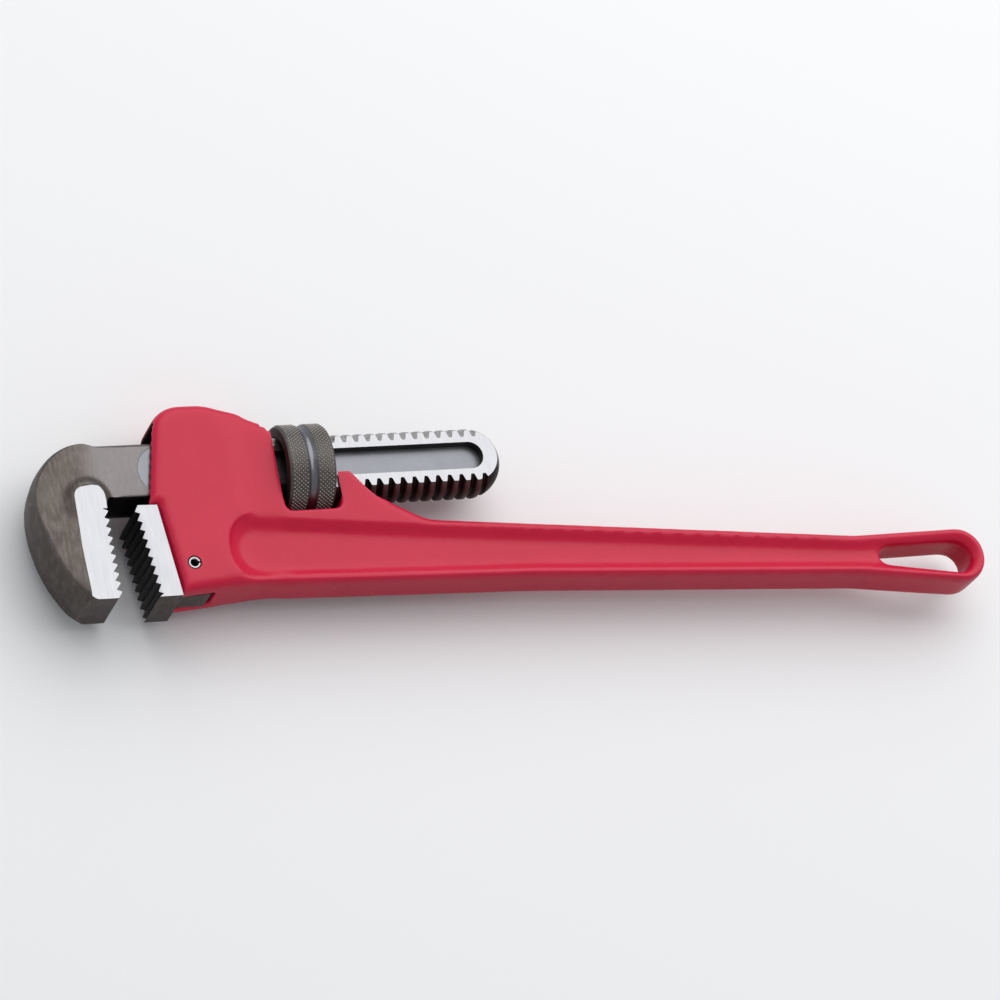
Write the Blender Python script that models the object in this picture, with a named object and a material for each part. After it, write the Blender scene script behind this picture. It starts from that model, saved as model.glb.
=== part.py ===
"""Adjustable pipe wrench of the straight pattern, nominal size 450 mm (18 in).

All sizes below are millimetres in the wrench's own frame: X runs along the hook jaw's shank
towards the end of the handle, Y points away from the handle to the back of the hook, and Z is
the thickness. The frame's origin is the centre of the adjusting nut, which lies on every
joint's axis. The last step moves the whole wrench so that it lies on its side on the ground,
with the world origin under the middle of its bounding box.
"""

import math

import bmesh
import bpy
from mathutils import Matrix, Vector

MM = 0.001
CORNER_STEPS = 7

# Clearances
SEAT_GAP = 0.3  # between two pieces that rest on each other
RUN_GAP = 0.5  # between two pieces that slide or turn on each other
ROCK_DEG = 5.0  # free tilt of the hook jaw in the housing
ROCK = math.radians(ROCK_DEG)

# Hook jaw shank: a round thread cut away by two flats, grooved on both sides
THREAD_R = 15.5
THREAD_DEPTH = 2.2
THREAD_PITCH = 5.5
SHANK_T = 19.6
SHANK_END_X = 93.0  # the rear end is a half-ball
THREAD_STEPS = 6  # sections along one pitch
THREAD_FRONT_X = -24.0
FLAT_FRONT_X = -75.0
FORGED_T = 20.4  # shank thickness before the flats are milled
GROOVE_HALF = 6.4
GROOVE_DEPTH = 4.6
GROOVE_REAR_X = 83.0
GROOVE_FRONT_X = -52.0

# Hook jaw head
HEAD_T = 29.0
PAD_T = 27.4
TOOTH_X = -92.0
TIP_X = -107.5
TIP_Y = -59.0
TIP_BEVEL = 5.0
NECK_X = -84.0
FLANK_CORE = 5.0  # half-thickness over which the outer flank keeps its full outline

# Teeth of both jaws
TOOTH_PITCH = 4.1
TOOTH_DEPTH = 2.1
TOOTH_COUNT = 10
TOOTH_RAKE = 0.28

# Adjusting nut
NUT_R = 21.1
NUT_L = 21.2
NUT_GROOVE_W = 1.6
NUT_GROOVE_DEPTH = 1.2
NUT_CHAMFER = 1.2
NUT_SIDES = 32

# Housing
HOUSING_T = 28.3
HOUSING_ROUND = 5.0
HOUSING_REAR_X = -24.0
MOUTH_TOP_X = -66.5
MOUTH_LOW_X = -74.0
DOME_Y = 29.4
WINDOW_ROUND = 3.0

# Heel jaw
HEEL_TOP_Y = -(THREAD_R + 2.1)  # clears the shank when the hook rocks
HEEL_LOW_Y = -59.5
HEEL_T = 28.3
HEEL_SEAT_TOP_X = -70.5
HEEL_SEAT_LOW_X = -66.0
HEEL_FACE_TOP_X = -81.2
HEEL_FACE_LOW_X = -76.5
TONGUE_T = 12.0
TONGUE_REAR_X = -51.0
TONGUE_TOP_Y = -21.5

# Heel jaw pin: a slotted spring pin
PIN_X = -58.7
PIN_Y = -44.9
PIN_R = 2.75
PIN_BORE_R = 1.6
PIN_SLIT = 0.8

# Handle
BEAM_T = 23.4
BEAM_ROUND = 4.5
WEB_T = 15.6
POCKET_SLOPE = 5.6  # how far the pocket's walls lean out between web and flange face
FLANGE_TOP_W = 9.0  # from the top edge to the foot of the pocket's wall
FLANGE_LOW_W = 7.2
HEEL_Y = -56.5  # bottom edge under the housing
GRIP_X = 255.0  # where the handle is narrowest
GRIP_TOP_Y = -48.6
GRIP_LOW_Y = -68.2
BELLY_X = 95.0  # where the bottom edge bends down
BELLY_Y = -59.0
SHOULDER_X = 51.0
SHOULDER_Y = -28.8
CHEEK_Y = -4.0
END_X = 319.0
END_Y = -62.3
END_R = 14.1
END_FILLET = 0.9  # share of the half width that rounds each corner of the end
HOLE_R = 7.6
HOLE_FRONT_X = 266.0
HOLE_FRONT_R = 4.4

# Springs
LEAF_T = 0.8
LEAF_W = 10.0
LEAF_PIN_X = -50.0
LEAF_TIP_X = -27.0
RIVET_R = 1.6
RIVET_LEN = 4.6
RIVET_HEAD_R = 2.8
RIVET_HEAD_T = 0.8
COIL_X = -34.5
COIL_R = 4.2
COIL_WIRE_R = 0.7
COIL_TURNS = 3.0
COIL_ROOF_Y = 25.4

# Fits worked out from the sizes above
PASSAGE_HALF = FORGED_T / 2 + RUN_GAP
WINDOW_HALF = NUT_L / 2 * math.cos(ROCK) + NUT_R * math.sin(ROCK) + SEAT_GAP
WINDOW_Y = -(NUT_R * math.cos(ROCK) + NUT_L / 2 * math.sin(ROCK) + SEAT_GAP)
FLOOR_Y = -(THREAD_R + RUN_GAP)
TONGUE_SLOT_HALF = TONGUE_T / 2 + SEAT_GAP
LEAF_ROOM = LEAF_T + RIVET_HEAD_T + 3 * SEAT_GAP


# ---------------------------------------------------------------- outlines

def grow(corners, amount):
    """The rounded polygon's corners after every edge has moved outwards by amount."""
    count = len(corners)
    area = sum(
        corners[i][0] * corners[(i + 1) % count][1] - corners[(i + 1) % count][0] * corners[i][1]
        for i in range(count)
    )
    side = math.copysign(1.0, area)
    grown = []
    for i, (x, y, radius) in enumerate(corners):
        before = Vector((x - corners[i - 1][0], y - corners[i - 1][1])).normalized()
        after = corners[(i + 1) % count]
        after = Vector((after[0] - x, after[1] - y)).normalized()
        turn = before.cross(after) * side
        shift = (Vector((before.y, -before.x)) + Vector((after.y, -after.x))) * side
        shift *= amount / (1.0 + before.dot(after))
        bend = math.copysign(1.0, turn)
        grown.append((x + shift.x, y + shift.y, max(radius + bend * amount, 0.02)))
    return grown


def rounded(corners):
    """Points of a polygon whose corners (x, y, radius) are filleted, CORNER_STEPS + 1 points each."""
    points = []
    for i, (x, y, radius) in enumerate(corners):
        here = Vector((x, y))
        before = (Vector(corners[i - 1][:2]) - here).normalized()
        after = (Vector(corners[(i + 1) % len(corners)][:2]) - here).normalized()
        half = before.angle(after) / 2
        reach = radius / math.tan(half)
        centre = here + (before + after).normalized() * radius / math.sin(half)
        start = here + before * reach - centre
        sweep = start.angle_signed(here + after * reach - centre)
        for k in range(CORNER_STEPS + 1):
            points.append(centre + Matrix.Rotation(-sweep * k / CORNER_STEPS, 2) @ start)
    return points


def tooth_line(start, end):
    """Points of a saw-toothed edge from start to end, with the valleys on its right-hand side."""
    start = Vector(start)
    along = (Vector(end) - start).normalized()
    right = Vector((along.y, -along.x))
    length = (Vector(end) - start).length
    points = []
    for k in range(TOOTH_COUNT):
        valley = length - (TOOTH_COUNT - k) * TOOTH_PITCH
        points.append(start + along * valley + right * TOOTH_DEPTH)
        points.append(start + along * (valley + TOOTH_RAKE * TOOTH_PITCH))
    points.append(start + along * length + right * TOOTH_DEPTH)
    return points


# ---------------------------------------------------------------- solids

def solid(name, rings):
    """A closed solid lofted through rings of points (mm), each with the same number of points."""
    mesh = bmesh.new()
    loops = [[mesh.verts.new(Vector(p) * MM) for p in ring] for ring in rings]
    count = len(loops[0])
    for low, high in zip(loops, loops[1:]):
        for i in range(count):
            j = (i + 1) % count
            mesh.faces.new((low[i], low[j], high[j], high[i]))
    mesh.faces.new(loops[0])
    mesh.faces.new(reversed(loops[-1]))
    return finish_mesh(name, mesh)


def finish_mesh(name, mesh):
    bmesh.ops.remove_doubles(mesh, verts=mesh.verts, dist=1e-7)
    bmesh.ops.recalc_face_normals(mesh, faces=mesh.faces)
    data = bpy.data.meshes.new(name)
    mesh.to_mesh(data)
    mesh.free()
    obj = bpy.data.objects.new(name, data)
    bpy.context.scene.collection.objects.link(obj)
    return obj


def prism(name, outline, low, high):
    """A flat plate with the given outline between two heights in Z."""
    return solid(name, [[(p[0], p[1], z) for p in outline] for z in (low, high)])


def slab(name, corners, half, edge):
    """A plate 2 * half thick whose outer edges are rounded with the radius edge."""
    rings = []
    for angle in (0, 30, 60, 90):
        inset = edge * (1 - math.sin(math.radians(angle)))
        height = half - edge * (1 - math.cos(math.radians(angle)))
        rings.append([(p.x, p.y, height) for p in rounded(grow(corners, -inset))])
    below = [[(x, y, -z) for x, y, z in ring] for ring in rings]
    return solid(name, below + rings[::-1])


def lathe_x(name, profile, steps):
    """A solid of revolution about X through profile points (x, radius), closed on the axis side."""
    rings = []
    for x, radius in profile:
        turn = [2 * math.pi * k / steps for k in range(steps)]
        rings.append([(x, radius * math.cos(a), radius * math.sin(a)) for a in turn])
    return solid(name, rings)


def cylinder(name, start, end, radius, steps=20):
    """A round bar from start to end (mm)."""
    start = Vector(start)
    axis = Vector(end) - start
    turn = axis.to_track_quat("Z", "Y")
    rings = []
    for foot in (start, start + axis):
        spin = [2 * math.pi * k / steps for k in range(steps)]
        rings.append([foot + turn @ Vector((math.cos(a), math.sin(a), 0)) * radius for a in spin])
    return solid(name, rings)


def combine(target, tool, operation):
    """Applies one exact Boolean to target and removes the tool."""
    step = target.modifiers.new(operation, "BOOLEAN")
    step.operation = operation
    step.object = tool
    step.solver = "EXACT"
    graph = bpy.context.evaluated_depsgraph_get()
    data = bpy.data.meshes.new_from_object(target.evaluated_get(graph))
    target.modifiers.clear()
    target.data = data
    data.name = target.name
    bpy.data.objects.remove(tool)


def cut(target, tool):
    combine(target, tool, "DIFFERENCE")


def add(target, tool):
    combine(target, tool, "UNION")


# ---------------------------------------------------------------- handle

def front_x(y):
    """X of the housing's sloping front edge at the height y."""
    share = (y - FLOOR_Y) / (DOME_Y - 8.0 - FLOOR_Y)
    return MOUTH_LOW_X + share * (MOUTH_TOP_X - MOUTH_LOW_X)


def seat_x(y):
    """X of the heel jaw's seat at the height y."""
    share = (y - HEEL_TOP_Y) / (HEEL_LOW_Y - HEEL_TOP_Y)
    return HEEL_SEAT_TOP_X + share * (HEEL_SEAT_LOW_X - HEEL_SEAT_TOP_X)


def housing_corners():
    """The thick part round the shank, from the heel seat over the dome to the window."""
    lip_y = HEEL_TOP_Y + SEAT_GAP
    return [
        (seat_x(-57.9) + SEAT_GAP, -57.9, 0.6),
        (-49.0, HEEL_Y, 30.0),
        (HOUSING_REAR_X, HEEL_Y + 1.9, 1.0),
        (HOUSING_REAR_X, 24.3, 2.0),
        (-42.0, DOME_Y, 30.0),
        (front_x(DOME_Y), DOME_Y, 14.4),
        (front_x(lip_y), lip_y, 0.4),
        (seat_x(HEEL_TOP_Y) + SEAT_GAP, lip_y, 0.2),
    ]


def beam_corners():
    """The handle proper with the frame under the window, the rear cheek and the eye at its end."""
    return [
        (-40.0, HEEL_Y + 1.8, 1.0),
        (BELLY_X, BELLY_Y, 400.0),
        (GRIP_X, GRIP_LOW_Y, 60.0),
        (END_X, END_Y - END_R, END_FILLET * END_R),
        (END_X, END_Y + END_R, END_FILLET * END_R),
        (GRIP_X, GRIP_TOP_Y, 60.0),
        (SHOULDER_X, SHOULDER_Y, 20.0),
        (36.0, -20.0, 14.0),
        (20.6, CHEEK_Y, 4.0),
        (WINDOW_HALF - 6.0, CHEEK_Y, 1.0),
        (WINDOW_HALF - 6.0, 10.0, 1.0),
        (-WINDOW_HALF - 0.2, 18.6, 4.0),
        (-20.5, 22.6, 8.0),
        (-30.0, 25.6, 6.0),
        (-40.0, 20.0, 1.0),
    ]


def pocket_corners():
    """Foot of the pocket's walls in the side of the handle, from the housing round the eye."""
    near_x = -35.0
    end_x = END_X - FLANGE_LOW_W
    half = END_R - FLANGE_LOW_W
    return [
        (near_x, HEEL_Y + 1.8 + FLANGE_LOW_W, 7.5),
        (BELLY_X, BELLY_Y + FLANGE_LOW_W, 300.0),
        (GRIP_X, GRIP_LOW_Y + FLANGE_LOW_W, 60.0),
        (end_x, END_Y - half, END_FILLET * half),
        (end_x, END_Y + half, END_FILLET * half),
        (GRIP_X, GRIP_TOP_Y - FLANGE_TOP_W + 1.0, 60.0),
        (SHOULDER_X, SHOULDER_Y - FLANGE_TOP_W, 40.0),
        (near_x, -29.0, 7.5),
    ]


def pocket(name, side):
    """Cutter for one side's pocket; its walls lean outwards."""
    rings = []
    for rise in (0.0, 1.0, 1.6):
        height = WEB_T / 2 + rise * (BEAM_T - WEB_T) / 2
        outline = rounded(grow(pocket_corners(), rise * POCKET_SLOPE))
        rings.append([(p.x, p.y, side * height) for p in outline])
    return solid(name, rings)


def roof_y(x):
    """Y of the passage's roof at x: the shank's top edge at full rock, with clearance."""
    return (THREAD_R + RUN_GAP) / math.cos(ROCK) - x * math.tan(ROCK)


def passage(name):
    """Cutter for the hole in which the shank slides and rocks, behind and before the window."""
    rear_x = SHOULDER_X + 30.0
    outline = [
        (-100.0, FLOOR_Y),
        (0.0, FLOOR_Y),
        (rear_x, FLOOR_Y - rear_x * math.tan(ROCK)),
        (rear_x, DOME_Y + 20.0),
        (-WINDOW_HALF + 1.0, DOME_Y + 20.0),
        (-WINDOW_HALF + 1.0, roof_y(-WINDOW_HALF)),
        (-100.0, roof_y(-100.0)),
    ]
    return prism(name, outline, -PASSAGE_HALF, PASSAGE_HALF)


def window(name):
    """Cutter for the opening in which the adjusting nut turns."""
    corners = [
        (-WINDOW_HALF, WINDOW_Y, WINDOW_ROUND),
        (WINDOW_HALF, WINDOW_Y, WINDOW_ROUND),
        (WINDOW_HALF, DOME_Y + 20.0, 1.0),
        (-WINDOW_HALF, DOME_Y + 20.0, 1.0),
    ]
    return prism(name, rounded(corners), -HOUSING_T, HOUSING_T)


def tongue_slot(name):
    """Cutter for the slot that takes the heel jaw's tongue, open in front and below."""
    rear_x = TONGUE_REAR_X + 1.6
    corners = [
        (-100.0, TONGUE_TOP_Y + SEAT_GAP, 1.0),
        (-100.0, -80.0, 1.0),
        (rear_x, -80.0, 1.0),
        (rear_x, TONGUE_TOP_Y + SEAT_GAP, 2.0),
    ]
    return prism(name, rounded(corners), -TONGUE_SLOT_HALF, TONGUE_SLOT_HALF)


def leaf_channel(name):
    """Cutter in the passage's roof that makes room for the flat spring."""
    front = LEAF_PIN_X - 6.5
    rear = LEAF_TIP_X + 2.0
    outline = [
        (front, roof_y(front) - 4.0),
        (rear, roof_y(rear) - 4.0),
        (rear, roof_y(rear) + LEAF_ROOM),
        (front, roof_y(front) + LEAF_ROOM),
    ]
    half = LEAF_W / 2 + RUN_GAP
    return prism(name, outline, -half, half)


def eye(name):
    """Cutter for the hanging hole: a long drop that widens towards the end."""
    end_x = END_X - END_R
    slope = (GRIP_TOP_Y + GRIP_LOW_Y) / 2 - END_Y
    front_y = END_Y + slope * (end_x - HOLE_FRONT_X) / (end_x - GRIP_X)
    points = []
    for k in range(9):
        angle = math.radians(-90 + 22.5 * k)
        points.append((end_x + HOLE_R * math.cos(angle), END_Y + HOLE_R * math.sin(angle)))
    for k in range(7):
        angle = math.radians(90 + 30 * k)
        centre_x = HOLE_FRONT_X + HOLE_FRONT_R
        points.append((centre_x + HOLE_FRONT_R * math.cos(angle), front_y + HOLE_FRONT_R * math.sin(angle)))
    return prism(name, points, -BEAM_T, BEAM_T)


def make_handle():
    """Cast handle and housing in one piece."""
    handle = slab("handle", housing_corners(), HOUSING_T / 2, HOUSING_ROUND)
    add(handle, slab("beam", beam_corners(), BEAM_T / 2, BEAM_ROUND))
    cut(handle, pocket("pocket_top", 1))
    cut(handle, pocket("pocket_under", -1))
    cut(handle, passage("passage"))
    cut(handle, window("window"))
    cut(handle, tongue_slot("tongue_slot"))
    cut(handle, leaf_channel("leaf_channel"))
    coil_seat_r = COIL_R + COIL_WIRE_R + RUN_GAP
    cut(handle, cylinder("coil_seat", (COIL_X, THREAD_R, 0), (COIL_X, COIL_ROOF_Y, 0), coil_seat_r, 24))
    rivet_top = rivet_foot_y() + LEAF_T + RIVET_LEN + SEAT_GAP
    hole_r = RIVET_R + SEAT_GAP
    cut(handle, cylinder("rivet_hole", (LEAF_PIN_X, 18.0, 0), (LEAF_PIN_X, rivet_top, 0), hole_r, 16))
    hole_r = PIN_R + SEAT_GAP
    cut(handle, cylinder("pin_hole", (PIN_X, PIN_Y, -20), (PIN_X, PIN_Y, 20), hole_r, 24))
    cut(handle, eye("eye"))
    return handle


# ---------------------------------------------------------------- hook jaw

def hook_outer():
    """Outer edge of the hook from the neck round to the tip: (x, y, inset at the side face)."""
    return [
        (NECK_X, THREAD_R - 0.4, 4.8),
        (-97.0, THREAD_R - 0.1, 4.8),
        (-104.5, 14.2, 4.6),
        (-110.5, 11.0, 4.2),
        (-115.5, 6.4, 3.6),
        (-119.3, 0.6, 3.2),
        (-121.8, -6.0, 3.0),
        (-122.9, -14.0, 2.8),
        (-122.4, -23.0, 2.8),
        (-120.6, -32.5, 2.8),
        (-117.3, -42.5, 2.8),
        (-113.4, -50.6, 3.8),
        (-110.6, -55.2, 4.6),
    ]


def hook_ring(height, share):
    """The head's outline at one height; share is how much of the inset applies there."""
    outer = hook_outer()
    ring = []
    for i, (x, y, inset) in enumerate(outer):
        before = Vector(outer[max(i - 1, 0)][:2])
        after = Vector(outer[min(i + 1, len(outer) - 1)][:2])
        along = (after - before).normalized()
        inward = Vector((-along.y, along.x))
        ring.append((x + inward.x * inset * share, y + inward.y * inset * share, height))
    inner = [
        (TIP_X + TIP_BEVEL * share, TIP_Y),
        (TOOTH_X, TIP_Y),
        (TOOTH_X, -17.0),
        (TOOTH_X + 0.8, -14.0),
        (TOOTH_X + 3.0, -THREAD_R + 2.4),
        (NECK_X, -THREAD_R + 1.5),
    ]
    return ring + [(x, y, height) for x, y in inner]


def thread_radius(x, angle):
    """Radius of the threaded shank at x and at the angle about X: a rounded trapezium."""
    phase = (x / THREAD_PITCH - angle / (2 * math.pi)) % 1.0
    wave = 0.5 + 1.1 * math.cos(2 * math.pi * phase) / 1.6
    rise = min(max(wave, 0.0), 1.0)
    return THREAD_R - THREAD_DEPTH * (1 - rise)


def shank_ring(x, half, threaded):
    """One section of the shank: two arcs joined by the flats, smaller in the half-ball end."""
    into_ball = max(x - SHANK_END_X + THREAD_R, 0.0)
    ball = math.sqrt(THREAD_R * THREAD_R - into_ball * into_ball)
    half = min(half, 0.9 * ball)
    ring = []
    for side in (1, -1):
        for k in range(5):
            z = side * half * (1 - k / 2)
            radius = thread_radius(x, math.atan2(z, side * THREAD_R)) if threaded else THREAD_R
            radius = min(radius, ball)
            ring.append((x, side * math.sqrt(radius * radius - z * z), z))
    return ring


def make_shank():
    """The shank from the neck to its rounded rear end."""
    forged = FORGED_T / 2
    milled = SHANK_T / 2
    rings = [shank_ring(NECK_X - 8.0, forged, False), shank_ring(FLAT_FRONT_X, forged, False)]
    rings.append(shank_ring(FLAT_FRONT_X + 1.5, milled, False))
    rings.append(shank_ring(THREAD_FRONT_X, milled, False))
    step = THREAD_PITCH / THREAD_STEPS
    count = int((SHANK_END_X - THREAD_FRONT_X - 0.2) / step)
    for k in range(1, count + 1):
        rings.append(shank_ring(THREAD_FRONT_X + k * step, milled, True))
    return solid("shank", rings)


def side_groove(name, side):
    """Cutter for one round-ended groove in the shank's flat."""
    corners = [
        (GROOVE_FRONT_X, -GROOVE_HALF, GROOVE_HALF * 0.98),
        (GROOVE_REAR_X, -GROOVE_HALF, GROOVE_HALF * 0.98),
        (GROOVE_REAR_X, GROOVE_HALF, GROOVE_HALF * 0.98),
        (GROOVE_FRONT_X, GROOVE_HALF, GROOVE_HALF * 0.98),
    ]
    low, high = sorted((side * (SHANK_T / 2 - GROOVE_DEPTH), side * (SHANK_T / 2 + 5)))
    return prism(name, rounded(corners), low, high)


def jaw_pad(name, side):
    """Cutter that grinds the side of the tooth block flat, with a rounded top."""
    corners = [
        (-104.8, TIP_Y - 5.0, 0.5),
        (TOOTH_X + 5.0, TIP_Y - 5.0, 0.5),
        (TOOTH_X + 5.0, -9.5, 3.0),
        (-97.0, -6.5, 5.5),
        (-105.4, -7.5, 5.0),
        (-105.9, -35.0, 8.0),
    ]
    low, high = sorted((side * PAD_T / 2, side * (HEAD_T / 2 + 5)))
    return prism(name, rounded(corners), low, high)


def neck_relief(name, side):
    """Cutter that slopes the side of the head down to the forged shank."""
    foot = side * (FORGED_T / 2 - 0.05)
    crest = side * (HEAD_T / 2 + 5)
    foot_x = TOOTH_X + 1.0
    crest_x = foot_x - 6.0
    rings = []
    for x, z in ((foot_x, foot), (crest_x, crest)):
        rings.append([(x, -30.0, z), (NECK_X + 10, -30.0, z), (NECK_X + 10, 30.0, z), (x, 30.0, z)])
    return solid(name, rings)


def tooth_gaps(name, line, reach):
    """Cutter for everything in front of a saw-toothed edge."""
    far = [(line[-1].x + reach, line[-1].y - 6.0), (line[0].x + reach, line[0].y)]
    outline = [(line[0].x, line[0].y)] + [(p.x, p.y) for p in line[1:]] + far
    return prism(name, outline, -HEAD_T, HEAD_T)


def make_hook_jaw():
    """Forged hook jaw: head, ground tooth block and threaded, grooved shank."""
    half = HEAD_T / 2
    levels = ((-half, 1.0), (-half + 3.5, 0.55), (-FLANK_CORE, 0.0))
    rings = [hook_ring(z, share) for z, share in levels]
    rings += [hook_ring(-z, share) for z, share in reversed(levels)]
    jaw = solid("hook_jaw", rings)
    for side in (1, -1):
        cut(jaw, neck_relief("neck_relief", side))
        cut(jaw, jaw_pad("pad", side))
    add(jaw, make_shank())
    line = tooth_line((TOOTH_X, -17.0), (TOOTH_X, TIP_Y))
    cut(jaw, tooth_gaps("gaps", line, 12.0))
    for side in (1, -1):
        cut(jaw, side_groove("groove", side))
    return jaw


# ---------------------------------------------------------------- heel jaw

def make_heel_jaw():
    """Replaceable toothed block with the tongue that the pin holds in the housing."""
    line = tooth_line((HEEL_FACE_LOW_X, HEEL_LOW_Y), (HEEL_FACE_TOP_X, HEEL_TOP_Y))
    outline = [(HEEL_SEAT_TOP_X, HEEL_TOP_Y), (HEEL_SEAT_LOW_X, HEEL_LOW_Y)]
    outline += [(HEEL_FACE_LOW_X, HEEL_LOW_Y)] + [(p.x, p.y) for p in line]
    jaw = prism("heel_jaw", outline, -HEEL_T / 2, HEEL_T / 2)
    tongue = [
        (HEEL_SEAT_TOP_X - 3.0, TONGUE_TOP_Y, 0.5),
        (TONGUE_REAR_X, TONGUE_TOP_Y, 1.5),
        (TONGUE_REAR_X, -57.0, 1.5),
        (HEEL_SEAT_LOW_X - 3.0, -57.0, 0.5),
    ]
    add(jaw, prism("tongue", rounded(tongue), -TONGUE_T / 2, TONGUE_T / 2))
    hole_r = PIN_R + SEAT_GAP
    cut(jaw, cylinder("pin_hole", (PIN_X, PIN_Y, -20), (PIN_X, PIN_Y, 20), hole_r, 24))
    return jaw


def make_heel_jaw_pin():
    """Slotted spring pin, flush with both sides of the housing."""
    half = HOUSING_T / 2 - 0.2
    pin = cylinder("heel_jaw_pin", (PIN_X, PIN_Y, -half), (PIN_X, PIN_Y, half), PIN_R, 24)
    cut(pin, cylinder("bore", (PIN_X, PIN_Y, -20), (PIN_X, PIN_Y, 20), PIN_BORE_R, 16))
    slit = [
        (PIN_X, PIN_Y - PIN_SLIT / 2),
        (PIN_X + 5, PIN_Y - PIN_SLIT / 2),
        (PIN_X + 5, PIN_Y + PIN_SLIT / 2),
        (PIN_X, PIN_Y + PIN_SLIT / 2),
    ]
    cut(pin, prism("slit", slit, -20, 20))
    return pin


# ---------------------------------------------------------------- adjusting nut

def make_adjusting_nut():
    """Nut with two gripping bands, a groove between them and a thread that matches the shank."""
    end = NUT_L / 2
    groove = NUT_GROOVE_W / 2
    low = NUT_R - NUT_GROOVE_DEPTH
    profile = [
        (-end, NUT_R - NUT_CHAMFER),
        (-end + NUT_CHAMFER, NUT_R),
        (-groove - NUT_GROOVE_DEPTH, NUT_R),
        (-groove, low),
        (groove, low),
        (groove + NUT_GROOVE_DEPTH, NUT_R),
        (end - NUT_CHAMFER, NUT_R),
        (end, NUT_R - NUT_CHAMFER),
    ]
    nut = lathe_x("adjusting_nut", profile, NUT_SIDES)
    count = int(math.ceil((NUT_L + 2.0) / THREAD_PITCH * THREAD_STEPS / 2))
    rings = []
    for k in range(-count, count + 1):
        x = k * THREAD_PITCH / THREAD_STEPS
        ring = []
        for i in range(NUT_SIDES):
            angle = 2 * math.pi * i / NUT_SIDES
            radius = thread_radius(x, angle) + RUN_GAP
            ring.append((x, radius * math.cos(angle), radius * math.sin(angle)))
        rings.append(ring)
    cut(nut, solid("thread", rings))
    return nut


# ---------------------------------------------------------------- springs

def rivet_foot_y():
    """Y of the flat spring's underside where it is riveted to the roof."""
    return roof_y(LEAF_PIN_X) + RIVET_HEAD_T + 2 * SEAT_GAP


def make_flat_spring():
    """Leaf riveted under the roof; its bent tongue lies on the shank and carries the coil."""
    high = rivet_foot_y()
    low = THREAD_R + SEAT_GAP
    path = [(LEAF_PIN_X + x, high - x * math.tan(ROCK)) for x in (-5.0, 4.5)]
    path += [(COIL_X - 5.0, low), (LEAF_TIP_X, low)]
    above = [(x, y + LEAF_T) for x, y in path]
    leaf = prism("flat_spring", path + above[::-1], -LEAF_W / 2, LEAF_W / 2)
    start = (LEAF_PIN_X, high - 3, 0)
    end = (LEAF_PIN_X, high + 3, 0)
    cut(leaf, cylinder("hole", start, end, RIVET_R + SEAT_GAP, 16))
    return leaf


def make_spring_rivet():
    """Rivet that holds the flat spring in a blind hole in the roof."""
    foot = rivet_foot_y() - SEAT_GAP
    head = (LEAF_PIN_X, foot - RIVET_HEAD_T, 0)
    top = (LEAF_PIN_X, rivet_foot_y() + LEAF_T + RIVET_LEN, 0)
    rivet = cylinder("spring_rivet", head, (LEAF_PIN_X, foot, 0), RIVET_HEAD_R, 20)
    add(rivet, cylinder("stem", (LEAF_PIN_X, foot - RIVET_HEAD_T / 2, 0), top, RIVET_R, 16))
    return rivet


def make_coil_spring():
    """Compression spring between the flat spring's tongue and its seat in the roof."""
    low = THREAD_R + SEAT_GAP + LEAF_T + SEAT_GAP + COIL_WIRE_R
    high = COIL_ROOF_Y - SEAT_GAP - COIL_WIRE_R
    count = int(COIL_TURNS * 12)
    data = bpy.data.curves.new("coil_spring", "CURVE")
    data.dimensions = "3D"
    data.bevel_depth = COIL_WIRE_R * MM
    data.bevel_resolution = 1
    data.use_fill_caps = True
    wire = data.splines.new("POLY")
    wire.points.add(count)
    for k in range(count + 1):
        angle = 2 * math.pi * COIL_TURNS * k / count
        height = low + (high - low) * k / count
        place = Vector((COIL_X + COIL_R * math.cos(angle), height, COIL_R * math.sin(angle))) * MM
        wire.points[k].co = (*place, 1.0)
    coil = bpy.data.objects.new("coil_spring", data)
    bpy.context.scene.collection.objects.link(coil)
    return coil


# ---------------------------------------------------------------- materials and placing

def material(name, colour, roughness, metallic):
    made = bpy.data.materials.new(name)
    made.use_nodes = True
    shader = made.node_tree.nodes["Principled BSDF"]
    shader.inputs["Base Color"].default_value = (*colour, 1.0)
    shader.inputs["Roughness"].default_value = roughness
    shader.inputs["Metallic"].default_value = metallic
    return made


def dress(obj, surface):
    obj.data.materials.clear()
    obj.data.materials.append(surface)
    if obj.type == "MESH":
        obj.data.shade_smooth()
        obj.data.set_sharp_from_angle(angle=math.radians(30))


def lay_down(pieces):
    """Parents every piece to one empty at the nut's centre and lays the wrench on the ground."""
    bpy.context.view_layer.update()
    graph = bpy.context.evaluated_depsgraph_get()
    corners = []
    for piece in pieces:
        shape = piece.evaluated_get(graph).to_mesh()
        corners += [piece.matrix_world @ v.co for v in shape.vertices]
        piece.evaluated_get(graph).to_mesh_clear()
    low = Vector([min(c[i] for c in corners) for i in range(3)])
    high = Vector([max(c[i] for c in corners) for i in range(3)])
    centre = bpy.data.objects.new("nut_centre", None)
    centre.location = Vector((-(low.x + high.x) / 2, -(low.y + high.y) / 2, -low.z))
    bpy.context.scene.collection.objects.link(centre)
    for piece in pieces:
        piece.parent = centre


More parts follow.
